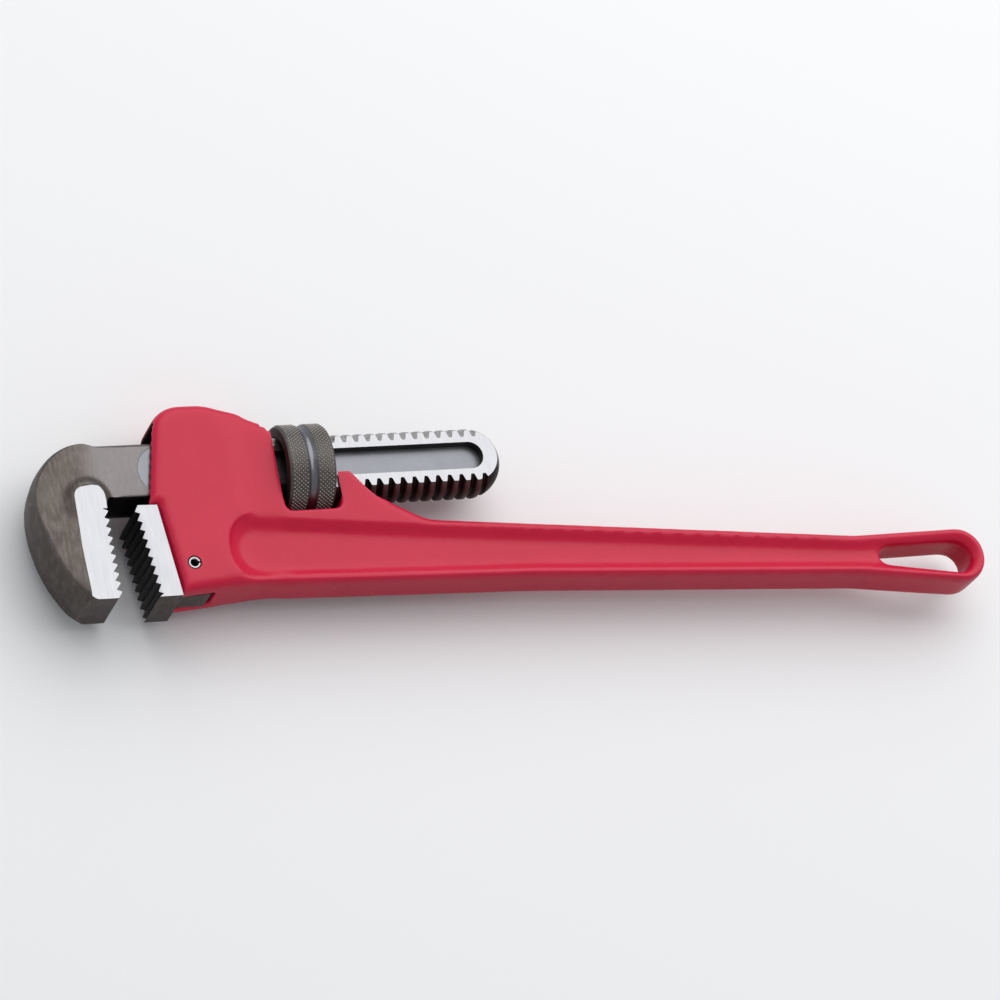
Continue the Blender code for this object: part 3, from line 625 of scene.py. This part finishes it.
# Painted shade: the neck's down-turned underside is mixed to near black.
soot = add(tree, "ShaderNodeAttribute", attribute_name="soot").outputs["Fac"]
skin = add(tree, "ShaderNodeMix", {0: soot, 6: skin.outputs[2], 7: linear("#151211")}, data_type="RGBA")
tree.links.new(skin.outputs[2], shader.inputs["Base Color"])
gloss = {"Value": pits.outputs["Fac"], "To Min": 0.34, "To Max": 0.58}
tree.links.new(add(tree, "ShaderNodeMapRange", gloss).outputs[0], shader.inputs["Roughness"])
bump = {"Height": blotch.outputs["Fac"], "Distance": 0.0004, "Strength": 0.35}
bump = add(tree, "ShaderNodeBump", bump)
bump = {"Height": pits.outputs["Fac"], "Distance": 0.00012, "Strength": 0.6, "Normal": bump.outputs[0]}
tree.links.new(add(tree, "ShaderNodeBump", bump).outputs[0], shader.inputs["Normal"])

# Surface-ground steel: bright, with fine parallel grinding lines across the wrench, drawn at
# 0.5 mm, coarser than real ones.
ground, tree, shader = surface("ground_steel", Metallic=1.0)
spot = add(tree, "ShaderNodeTexCoord").outputs["Object"]
scratch = add(tree, "ShaderNodeMapping", {"Vector": spot, "Scale": (1.0, 0.04, 1.0)})
scratch = {"Vector": scratch.outputs[0], "Scale": per_mm(0.5), "Detail": 3.0}
scratch = add(tree, "ShaderNodeTexNoise", scratch)
haze = add(tree, "ShaderNodeTexNoise", {"Vector": spot, "Scale": per_mm(7), "Detail": 3.0})
bright = {0: scratch.outputs["Fac"], 6: linear("#A2A2A5"), 7: linear("#B9B9BC")}
bright = add(tree, "ShaderNodeMix", bright, data_type="RGBA")
tree.links.new(bright.outputs[2], shader.inputs["Base Color"])
gloss = {"Value": haze.outputs["Fac"], "To Min": 0.24, "To Max": 0.36}
tree.links.new(add(tree, "ShaderNodeMapRange", gloss).outputs[0], shader.inputs["Roughness"])
bump = {"Height": scratch.outputs["Fac"], "Distance": 0.00002, "Strength": 0.5}
tree.links.new(add(tree, "ShaderNodeBump", bump).outputs[0], shader.inputs["Normal"])

# Milled steel: satin grey with faint marks of the cutter, 0.9 mm apart, across the flat.
milled, tree, shader = surface("milled_steel", Metallic=1.0)
spot = add(tree, "ShaderNodeTexCoord").outputs["Object"]
sweep = {"Vector": spot, "Scale": per_mm(0.9), "Distortion": 1.5, "Detail": 2.0, "Detail Scale": 2.0}
sweep = add(tree, "ShaderNodeTexWave", sweep, bands_direction="X")
haze = add(tree, "ShaderNodeTexNoise", {"Vector": spot, "Scale": per_mm(8), "Detail": 4.0})
bright = {0: haze.outputs["Fac"], 6: linear("#737479"), 7: linear("#8A8B90")}
bright = add(tree, "ShaderNodeMix", bright, data_type="RGBA")
tree.links.new(bright.outputs[2], shader.inputs["Base Color"])
gloss = {"Value": haze.outputs["Fac"], "To Min": 0.26, "To Max": 0.42}
tree.links.new(add(tree, "ShaderNodeMapRange", gloss).outputs[0], shader.inputs["Roughness"])
bump = {"Height": sweep.outputs["Fac"], "Distance": 0.00001, "Strength": 0.5}
tree.links.new(add(tree, "ShaderNodeBump", bump).outputs[0], shader.inputs["Normal"])

# Black oxide on cut teeth, and painted shade on the walls of cut steps, the shank's front flats and the
# nut's ends and bore: nearly black, with a dull sheen.
black, tree, shader = surface("black_oxide_steel", Metallic=0.6)
spot = add(tree, "ShaderNodeTexCoord").outputs["Object"]
cuts = add(tree, "ShaderNodeMapping", {"Vector": spot, "Scale": (1.0, 1.0, 0.05)})
cuts = add(tree, "ShaderNodeTexNoise", {"Vector": cuts.outputs[0], "Scale": per_mm(0.5), "Detail": 3.0})
dark = {0: cuts.outputs["Fac"], 6: linear("#1B1918"), 7: linear("#35312F")}
dark = add(tree, "ShaderNodeMix", dark, data_type="RGBA")
tree.links.new(dark.outputs[2], shader.inputs["Base Color"])
gloss = {"Value": cuts.outputs["Fac"], "To Min": 0.4, "To Max": 0.6}
tree.links.new(add(tree, "ShaderNodeMapRange", gloss).outputs[0], shader.inputs["Roughness"])
bump = {"Height": cuts.outputs["Fac"], "Distance": 0.00003, "Strength": 0.6}
tree.links.new(add(tree, "ShaderNodeBump", bump).outputs[0], shader.inputs["Normal"])

outer = smooth_line(HEAD_OUTER, 5)
along = np.gradient(outer[:, :2], axis=0)
along /= np.linalg.norm(along, axis=1)[:, None]
inward = np.stack([-along[:, 1], along[:, 0]], 1)
rings = []
into_neck = ramp(outer[:, 0], -98.0, -90.0)
rounding = outer[:, 2]
for height in [*HEAD_LEVELS, *[-level for level in HEAD_LEVELS[-2::-1]]]:
    up = abs(height)
    over = np.maximum(up - (HEAD_HALF - rounding), 0)
    inset = HEAD_DRAFT * up / HEAD_HALF + rounding - np.sqrt(np.maximum(rounding ** 2 - over ** 2, 0))
    round_y = math.sqrt(THREAD_R ** 2 - min(up, FORGED_HALF) ** 2)
    inset += (THREAD_R - round_y - inset) * into_neck
    edge_line = outer[:, :2] + inward * inset[:, None]
    share = (up / HEAD_HALF) ** 3
    inner = [(TIP[0] + TIP_BEVEL * share, TIP[1]), (TOOTH_X, TIP[1]), (TOOTH_X, TOOTH_TOP_Y)]
    inner += [(THROAT_X[0], -round_y / 2 - 8.4)]
    inner += [(THROAT_X[1], 0.1 - round_y), (THROAT_X[2], 0.1 - round_y)]
    rings.append([(x, y, height) for x, y in [*edge_line, *inner]])
head = loft("head", rings, forging)

rings = []
for x in (-93.0, THREAD_FRONT_X + 3.0):
    ring = []
    for side in (1, -1):
        for k in range(13):
            z = side * FORGED_HALF * (1 - k / 6)
            ring.append((x, side * math.sqrt(THREAD_R ** 2 - z * z), z))
    rings.append(ring)
neck = loft("neck", rings, forging)

hook = cast_skin(stand("blank", merged(head, [neck])), FORGING_STEP, "hook_forging")
bpy.data.objects.remove(head)
points = local(hook.data)
x, y, z = points.T
beyond = np.hypot(x - CREST[0], y - CREST[1]) - CREST[2]
beside = np.abs(x - CREST[0]) - CREST[2]
beyond = np.where(y > CREST[1], beyond, beside)
upper = np.where(x > CREST[0], 1.0, ramp(y, -30.0, -10.0))
cheek_z = CHEEK_HALF + (FORGED_HALF - CHEEK_HALF) * ramp(x, -102.0, -90.0)
limit = HEAD_HALF - (HEAD_HALF - cheek_z) * ease(beyond / CHEEK_EDGE + 0.12) * upper * (beyond > -0.8)
limit = np.where((y < TOOTH_TOP_Y) & (x > CREST[0]), HEAD_HALF, limit)
points[:, 2] = np.clip(z, -limit, limit)
put(hook.data, points)
soften(hook.data, 5, np.full(len(points), 0.5))
uneven(hook.data, size=9.0, depth=0.12, seed=2)
mark_edges(hook.data, passes=6)
under = np.clip((-point_normals(hook.data)[:, 1] - 0.25) / 0.35, 0, 1)
# Mask for the painted highlight on the neck's flat sides.
beside = np.clip((np.abs(point_normals(hook.data)[:, 2]) - 0.75) / 0.2, 0, 1)
store(hook.data, "wiped", 0.6 * beside * ramp(x, -104.0, -90.0) * (y > -16.0))
# Mask for the painted shade on faces turned down under the neck.
store(hook.data, "soot", under * ramp(x, -92.5, -91.5) * (y < -6.0))
hook.data.materials.append(forging)

cutters = []
line = toothed((TOOTH_X, TOOTH_TOP_Y), (TOOTH_X, TIP[1]))
gap = [(p.x, p.y) for p in line]
gap += [(line[-1].x + 12, line[-1].y - 6), (line[0].x + 12, line[0].y)]
cutters.append(plate("gaps", gap, -20, 20, black))
arc = [math.radians(90 + 180 * k / 24) for k in range(25)]
slot = [(FLAT_X + FLAT_CUTTER_R * math.cos(a), FLAT_CUTTER_R * math.sin(a)) for a in arc]
slot += [(THREAD_FRONT_X + 9, -FLAT_CUTTER_R), (THREAD_FRONT_X + 9, FLAT_CUTTER_R)]
corners = [(GROOVE_X[0], -GROOVE_HALF), (GROOVE_X[1], -GROOVE_HALF)]
corners += [(GROOVE_X[1], GROOVE_HALF), (GROOVE_X[0], GROOVE_HALF)]
groove = rounded([(*corner, GROOVE_END_R) for corner in corners], 12)
rear = [(THREAD_FRONT_X, -30), (THREAD_FRONT_X + 20, -30)]
rear += [(THREAD_FRONT_X + 20, 30), (THREAD_FRONT_X, 30)]
cutters.append(plate("rear", rear, -30, 30, milled))
for side in (1, -1):
    cutters.append(plate("pad", rounded(PAD), side * PAD_HALF, side * 20, ground))
    cutters.append(plate("flat", slot, side * SHANK_HALF, side * 12, milled))
    cutters.append(plate("groove", groove, side * (SHANK_HALF - GROOVE_DEPTH), side * 11, milled))
carve(hook, cutters)


def paint_shade_on_walls(obj, finishes):
    """Gives the walls beside faces cut in these finishes the black finish, as painted shade."""
    found = [k for k, item in enumerate(obj.data.materials) if item in finishes]
    obj.data.materials.append(black)
    for face in obj.data.polygons:
        if face.material_index in found and abs(face.normal.z) < 0.5:
            face.material_index = len(obj.data.materials) - 1


# Painted shade on the walls of the pads and grooves.
paint_shade_on_walls(hook, (ground, milled))
shade(hook, 35)
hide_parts("hook_jaw")
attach(hook, "hook")

# Rolled thread: its back, away from the handle, is painted bright with a few grey marks as a
# painted highlight, its handle side is painted black as painted shade, and its crests are rubbed a
# little by the nut.
threaded, tree, shader = surface("worn_thread_steel", Metallic=0.9)
spot = add(tree, "ShaderNodeTexCoord").outputs["Object"]
place = add(tree, "ShaderNodeMapping", {"Vector": spot, "Location": [-c for c in NUT_CENTRE]})
flat = add(tree, "ShaderNodeVectorMath", {0: place.outputs[0], 1: (0.0, 1.0, 1.0)}, operation="MULTIPLY")
radius = add(tree, "ShaderNodeVectorMath", {0: flat.outputs[0]}, operation="LENGTH").outputs["Value"]
wear = {"Value": radius, "From Min": (THREAD_R - 1.4) * MM, "From Max": (THREAD_R - 0.2) * MM}
wear = add(tree, "ShaderNodeMapRange", wear).outputs[0]
grime = add(tree, "ShaderNodeTexNoise", {"Vector": spot, "Scale": per_mm(1.6), "Detail": 4.0})
base = {0: grime.outputs["Fac"], 6: linear("#1D1918"), 7: linear("#38322F")}
base = add(tree, "ShaderNodeMix", base, data_type="RGBA")
base = {0: wear, 6: base.outputs[2], 7: linear("#6A625E")}
base = add(tree, "ShaderNodeMix", base, data_type="RGBA")
wiped = {"Value": grime.outputs["Fac"], "From Min": 0.3, "From Max": 0.6}
wiped = add(tree, "ShaderNodeMapRange", wiped).outputs[0]
wiped = {0: wiped, 6: linear("#A5A3A1"), 7: linear("#CDCCCA")}
wiped = add(tree, "ShaderNodeMix", wiped, data_type="RGBA")
# Painted light: by height, the back is mixed bright as a painted highlight and the handle side dark as
# painted shade.
height = add(tree, "ShaderNodeSeparateXYZ", {0: place.outputs[0]}).outputs["Y"]
back = {"Value": height, "From Min": -0.006, "From Max": 0.004}
back = add(tree, "ShaderNodeMapRange", back).outputs[0]
base = {0: back, 6: base.outputs[2], 7: wiped.outputs[2]}
base = add(tree, "ShaderNodeMix", base, data_type="RGBA")
tree.links.new(base.outputs[2], shader.inputs["Base Color"])
gloss = {"Value": back, "To Min": 0.5, "To Max": 0.3}
tree.links.new(add(tree, "ShaderNodeMapRange", gloss).outputs[0], shader.inputs["Roughness"])
bump = {"Height": grime.outputs["Fac"], "Distance": 0.00006, "Strength": 0.5}
tree.links.new(add(tree, "ShaderNodeBump", bump).outputs[0], shader.inputs["Normal"])


def thread_radius(x, angle):
    """Radius of the right-handed round thread at x and at an angle about X."""
    phase = x / THREAD_PITCH - angle / (2 * math.pi)
    rise = ease(THREAD_FORM[0] + THREAD_FORM[1] * np.cos(2 * math.pi * phase))
    return THREAD_R - 0.05 - THREAD_DEPTH * (1 - rise)


def ring_at(x, radius, angles):
    """Points at x round the nut's axis, at these angles."""
    return np.stack([np.full(len(angles), x), radius * np.cos(angles), radius * np.sin(angles)], 1)


angles = np.arange(80) * 2 * math.pi / 80
stations = list(np.arange(THREAD_FRONT_X, BALL_X + BALL_START, THREAD_PITCH / 14))
stations += list(BALL_X + THREAD_R * np.sin(np.linspace(0.56, 1.55, 16)))
rings = []
for x in stations:
    ball = math.sqrt(THREAD_R ** 2 - max(x - BALL_X, 0) ** 2)
    radius = np.minimum(thread_radius(x, angles), ball)
    rings.append(ring_at(x, radius, angles))
shank = loft("hook_thread", rings, threaded)
cutters = []
# Painted shade: the flats in front of FLAT_SPLIT_X take the black finish.
front_plate = [(-40, -20), (FLAT_SPLIT_X, -20), (FLAT_SPLIT_X, 20), (-40, 20)]
rear_plate = [(FLAT_SPLIT_X - 1, -20), (110, -20), (110, 20), (FLAT_SPLIT_X - 1, 20)]
for side in (1, -1):
    cutters.append(plate("flat", front_plate, side * SHANK_HALF, side * 20, black))
    cutters.append(plate("flat", rear_plate, side * SHANK_HALF, side * 20, ground))
    cutters.append(plate("groove", groove, side * (SHANK_HALF - GROOVE_DEPTH), side * 11, milled))
carve(shank, cutters)
# Painted shade on the groove's walls.
paint_shade_on_walls(shank, (milled,))
shade(shank, 40)
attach(shank, "hook")

# ------------------------------------------------------------------ adjusting nut
# Turned from bar, phosphated dark, with two diamond-knurled bands for the fingers either side
# of a smooth groove. It screws along the shank inside the housing's window.

NUT_R = 21.1
NUT_HALF = 10.6
NUT_GROOVE = 2.0
NUT_GROOVE_DEPTH = 1.3
NUT_END = ((0.0, 17.0), (0.0, 19.2), (0.2, 19.85), (0.6, 20.3), (1.1, 20.53))  # distance in, radius
DARK_END_R = 19.6  # the end faces take the black finish inside this radius, as painted shade
NUT_WALL_R = 18.0  # a radius between the bore and the grooved outside
KNURL_H = 0.5
KNURL_AROUND = 74
KNURL_ROWS = 7
KNURL_STEP = 0.98
KNURL_FIRST_X = -8.8
THREAD_GAP = 0.45

# Manganese phosphate: dull brown-grey, with the knurl's points worn to bare pale steel. The bore
# and the ends take the black finish as painted shade, and the groove is a turned satin.
phosphate, tree, shader = surface("manganese_phosphate_steel", Metallic=0.75)
spot = add(tree, "ShaderNodeTexCoord").outputs["Object"]
place = add(tree, "ShaderNodeMapping", {"Vector": spot, "Location": [-c for c in NUT_CENTRE]})
flat = add(tree, "ShaderNodeVectorMath", {0: place.outputs[0], 1: (0.0, 1.0, 1.0)}, operation="MULTIPLY")
radius = add(tree, "ShaderNodeVectorMath", {0: flat.outputs[0]}, operation="LENGTH").outputs["Value"]
wear = {"Value": radius, "From Min": (NUT_R - 0.5) * MM, "From Max": NUT_R * MM}
wear = add(tree, "ShaderNodeMapRange", wear).outputs[0]
grime = add(tree, "ShaderNodeTexNoise", {"Vector": spot, "Scale": per_mm(2.2), "Detail": 5.0})
base = {0: grime.outputs["Fac"], 6: linear("#4A4643"), 7: linear("#716C68")}
base = add(tree, "ShaderNodeMix", base, data_type="RGBA")
base = {0: wear, 6: base.outputs[2], 7: linear("#D6D2CE")}
base = add(tree, "ShaderNodeMix", base, data_type="RGBA")
tree.links.new(base.outputs[2], shader.inputs["Base Color"])
gloss = {"Value": grime.outputs["Fac"], "To Min": 0.36, "To Max": 0.52}
tree.links.new(add(tree, "ShaderNodeMapRange", gloss).outputs[0], shader.inputs["Roughness"])
bump = {"Height": grime.outputs["Fac"], "Distance": 0.00005, "Strength": 0.5}
tree.links.new(add(tree, "ShaderNodeBump", bump).outputs[0], shader.inputs["Normal"])

skin_r = NUT_R - KNURL_H
profile = [(-NUT_HALF + into, radius) for into, radius in NUT_END]
profile += [(-NUT_HALF + 1.6, skin_r), (-NUT_GROOVE - 0.15, skin_r)]
for share in np.linspace(-1, 1, 13):
    profile.append((NUT_GROOVE * share, skin_r + 0.1 - NUT_GROOVE_DEPTH * (1 - share * share) ** 0.7))
profile += [(-px, pr) for px, pr in profile[:7][::-1]]
angles = np.arange(2 * KNURL_AROUND) * math.pi / KNURL_AROUND
rings = [ring_at(px, pr, angles) for px, pr in profile]
for x in np.arange(NUT_HALF, -NUT_HALF - 0.01, -NUT_HALF / 20):
    rings.append(ring_at(x, thread_radius(x, angles) + THREAD_GAP, angles))
nut = loft("nut_body", rings, phosphate, loop=True)
nut.data.materials.append(black)
nut.data.materials.append(milled)
# Painted shade: faces of the ends and the bore take the black finish.
for face in nut.data.polygons:
    px, py, pz = (face.center - NUT_CENTRE) / MM
    dark = math.hypot(py, pz) < (DARK_END_R if abs(px) > NUT_HALF / 2 else NUT_WALL_R)
    face.material_index = 1 if dark else 2 if abs(px) < NUT_GROOVE else 0
shade(nut, 45)

# One knurl point is a blunt four-sided pyramid whose foot is a diamond, sunk a little in the nut.
point = bpy.data.meshes.new("knurl_point")
half_x, half_y, sink = KNURL_STEP * 0.97, math.pi * skin_r / KNURL_AROUND * 0.97, 0.3
foot = [(half_x, 0, -sink), (0, half_y, -sink), (-half_x, 0, -sink), (0, -half_y, -sink)]
top = [(x * 0.12, y * 0.12, KNURL_H - 0.02) for x, y, _ in foot]
faces = [(3, 2, 1, 0), (4, 5, 6, 7)] + [(k, (k + 1) % 4, 4 + (k + 1) % 4, 4 + k) for k in range(4)]
point.from_pydata([Vector(p) * MM for p in foot + top], [], faces)
stud = stand("knurl_stud", point)


def knurl_tree():
    """Geometry Nodes: rows of studs round the nut's axis, each row half a stud further round."""
    tree = bpy.data.node_groups.new("knurl", "GeometryNodeTree")
    tree.interface.new_socket("Geometry", in_out="OUTPUT", socket_type="NodeSocketGeometry")
    sockets = {}
    for name, kind in (
        ("Stud", "Object"), ("Finish", "Material"), ("Around", "Int"), ("Rows", "Int"),
        ("First X", "Float"), ("Step", "Float"), ("Band Gap", "Float"), ("Radius", "Float"),
        ("Centre", "Vector"),
    ):
        made = tree.interface.new_socket(name, in_out="INPUT", socket_type="NodeSocket" + kind)
        sockets[name] = made.identifier
    given = add(tree, "NodeGroupInput").outputs

    def math_node(operation, a, b=0.0, c=0.0):
        return add(tree, "ShaderNodeMath", {0: a, 1: b, 2: c}, operation=operation).outputs[0]

    index = add(tree, "GeometryNodeInputIndex").outputs[0]
    total = math_node("MULTIPLY", math_node("MULTIPLY", given["Around"], given["Rows"]), 2.0)
    row = math_node("FLOOR", math_node("DIVIDE", math_node("ADD", index, 0.5), given["Around"]))
    band = math_node("GREATER_THAN", row, math_node("SUBTRACT", given["Rows"], 0.5))
    x = math_node("MULTIPLY_ADD", row, given["Step"], given["First X"])
    x = math_node("MULTIPLY_ADD", band, given["Band Gap"], x)
    share = math_node("MULTIPLY_ADD", math_node("MODULO", row, 2.0), 0.5, index)
    angle = math_node("MULTIPLY", math_node("DIVIDE", share, given["Around"]), 2 * math.pi)
    y = math_node("MULTIPLY", math_node("COSINE", angle), given["Radius"])
    z = math_node("MULTIPLY", math_node("SINE", angle), given["Radius"])
    place = add(tree, "ShaderNodeCombineXYZ", {0: x, 1: y, 2: z})
    place = add(tree, "ShaderNodeVectorMath", {0: place.outputs[0], 1: given["Centre"]}, operation="ADD")
    dots = add(tree, "GeometryNodePoints", {"Count": total, "Position": place.outputs[0]})
    lean = add(tree, "ShaderNodeCombineXYZ", {0: math_node("SUBTRACT", angle, math.pi / 2)})
    copy = add(tree, "GeometryNodeObjectInfo", {"Object": given["Stud"]}).outputs["Geometry"]
    spread = {"Points": dots.outputs[0], "Instance": copy, "Rotation": lean.outputs[0]}
    spread = add(tree, "GeometryNodeInstanceOnPoints", spread)
    solid = add(tree, "GeometryNodeRealizeInstances", {0: spread.outputs[0]})
    solid = {"Geometry": solid.outputs[0], "Material": given["Finish"]}
    solid = add(tree, "GeometryNodeSetMaterial", solid)
    add(tree, "NodeGroupOutput", {0: solid.outputs[0]})
    return tree, sockets


tree, sockets = knurl_tree()
knurl = stand("nut_knurl", bpy.data.meshes.new("nut_knurl"))
grow = knurl.modifiers.new("knurl", "NODES")
grow.node_group = tree
band_gap = -2 * KNURL_FIRST_X - (2 * KNURL_ROWS - 1) * KNURL_STEP
for name, value in (
    ("Stud", stud), ("Finish", phosphate), ("Around", KNURL_AROUND), ("Rows", KNURL_ROWS),
    ("First X", KNURL_FIRST_X * MM), ("Step", KNURL_STEP * MM), ("Band Gap", band_gap * MM),
    ("Radius", skin_r * MM), ("Centre", list(NUT_CENTRE)),
):
    grow[sockets[name]] = value
graph = bpy.context.evaluated_depsgraph_get()
mesh = bpy.data.meshes.new_from_object(knurl.evaluated_get(graph))
knurl.modifiers.clear()
knurl.data = mesh
mesh.name = "nut_knurl"
bpy.data.objects.remove(stud)
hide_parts("adjusting_nut")
for item in (nut, knurl):
    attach(item, "nut")

# ------------------------------------------------------------------ heel jaw and its pin
# A hardened steel block, ground on its sides, with teeth cut across its face. Its tongue sits in
# the housing, held by a slotted spring pin driven through from the side.

HEEL_HALF = 14.15
HEEL_FACE = ((-59.5, -76.5), (-17.6, -81.2))  # y and x of the line of tooth tips
HEEL_TOOTH_DEPTH = 2.4
HEEL_BEVEL = 0.22
PIN_R = 2.75
PIN_BORE_R = 1.6
PIN_SLIT = 0.8
PIN_HALF = 13.95
PIN_CHAMFER = (0.3, 0.35)  # how far it comes in, and its length

mesh = merged(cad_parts["heel_jaw"])
shape = bmesh.new()
shape.from_mesh(mesh)
bmesh.ops.dissolve_limit(shape, angle_limit=0.02, verts=shape.verts, edges=shape.edges)
shape.to_mesh(mesh)
shape.free()
mesh.materials.clear()
mesh.materials.append(black)
mesh.materials.append(ground)
mesh.materials.append(forging)
for face in mesh.polygons:
    px, py, pz = (face.center - NUT_CENTRE) / MM
    toothed_face = px < np.interp(py, *zip(*HEEL_FACE)) + HEEL_TOOTH_DEPTH
    face.material_index = 1 if abs(pz) > HEEL_HALF - 0.05 else 0 if toothed_face else 2
heel = stand("heel_block", mesh)
soft = heel.modifiers.new("edges", "BEVEL")
soft.width = HEEL_BEVEL * MM
soft.segments = 2
soft.limit_method = "ANGLE"
soft.angle_limit = math.radians(35)
graph = bpy.context.evaluated_depsgraph_get()
mesh = bpy.data.meshes.new_from_object(heel.evaluated_get(graph))
heel.modifiers.clear()
heel.data = mesh
mesh.name = "heel_block"
shade(heel, 35)
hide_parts("heel_jaw")
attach(heel, "frame")


def pin_ring(z, inset):
    """C-shaped section of the pin, open towards the handle."""
    outer, inner = PIN_R - inset, PIN_BORE_R + inset
    wide = math.asin(PIN_SLIT / 2 / PIN_R)
    narrow = math.asin(PIN_SLIT / 2 / PIN_BORE_R)
    out = np.linspace(wide, 2 * math.pi - wide, 49)
    back = np.linspace(2 * math.pi - narrow, narrow, 37)
    ring = [(outer * math.cos(a), outer * math.sin(a)) for a in out]
    ring += [(inner * math.cos(a), inner * math.sin(a)) for a in back]
    return [(PIN[0] + px, PIN[1] + py, z) for px, py in ring]


inset, length = PIN_CHAMFER
rings = [pin_ring(-PIN_HALF, inset), pin_ring(-PIN_HALF + length, 0.0)]
rings += [pin_ring(PIN_HALF - length, 0.0), pin_ring(PIN_HALF, inset)]
pin = loft("heel_pin_tube", rings, ground)
shade(pin, 35)
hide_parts("heel_jaw_pin")
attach(pin, "frame")
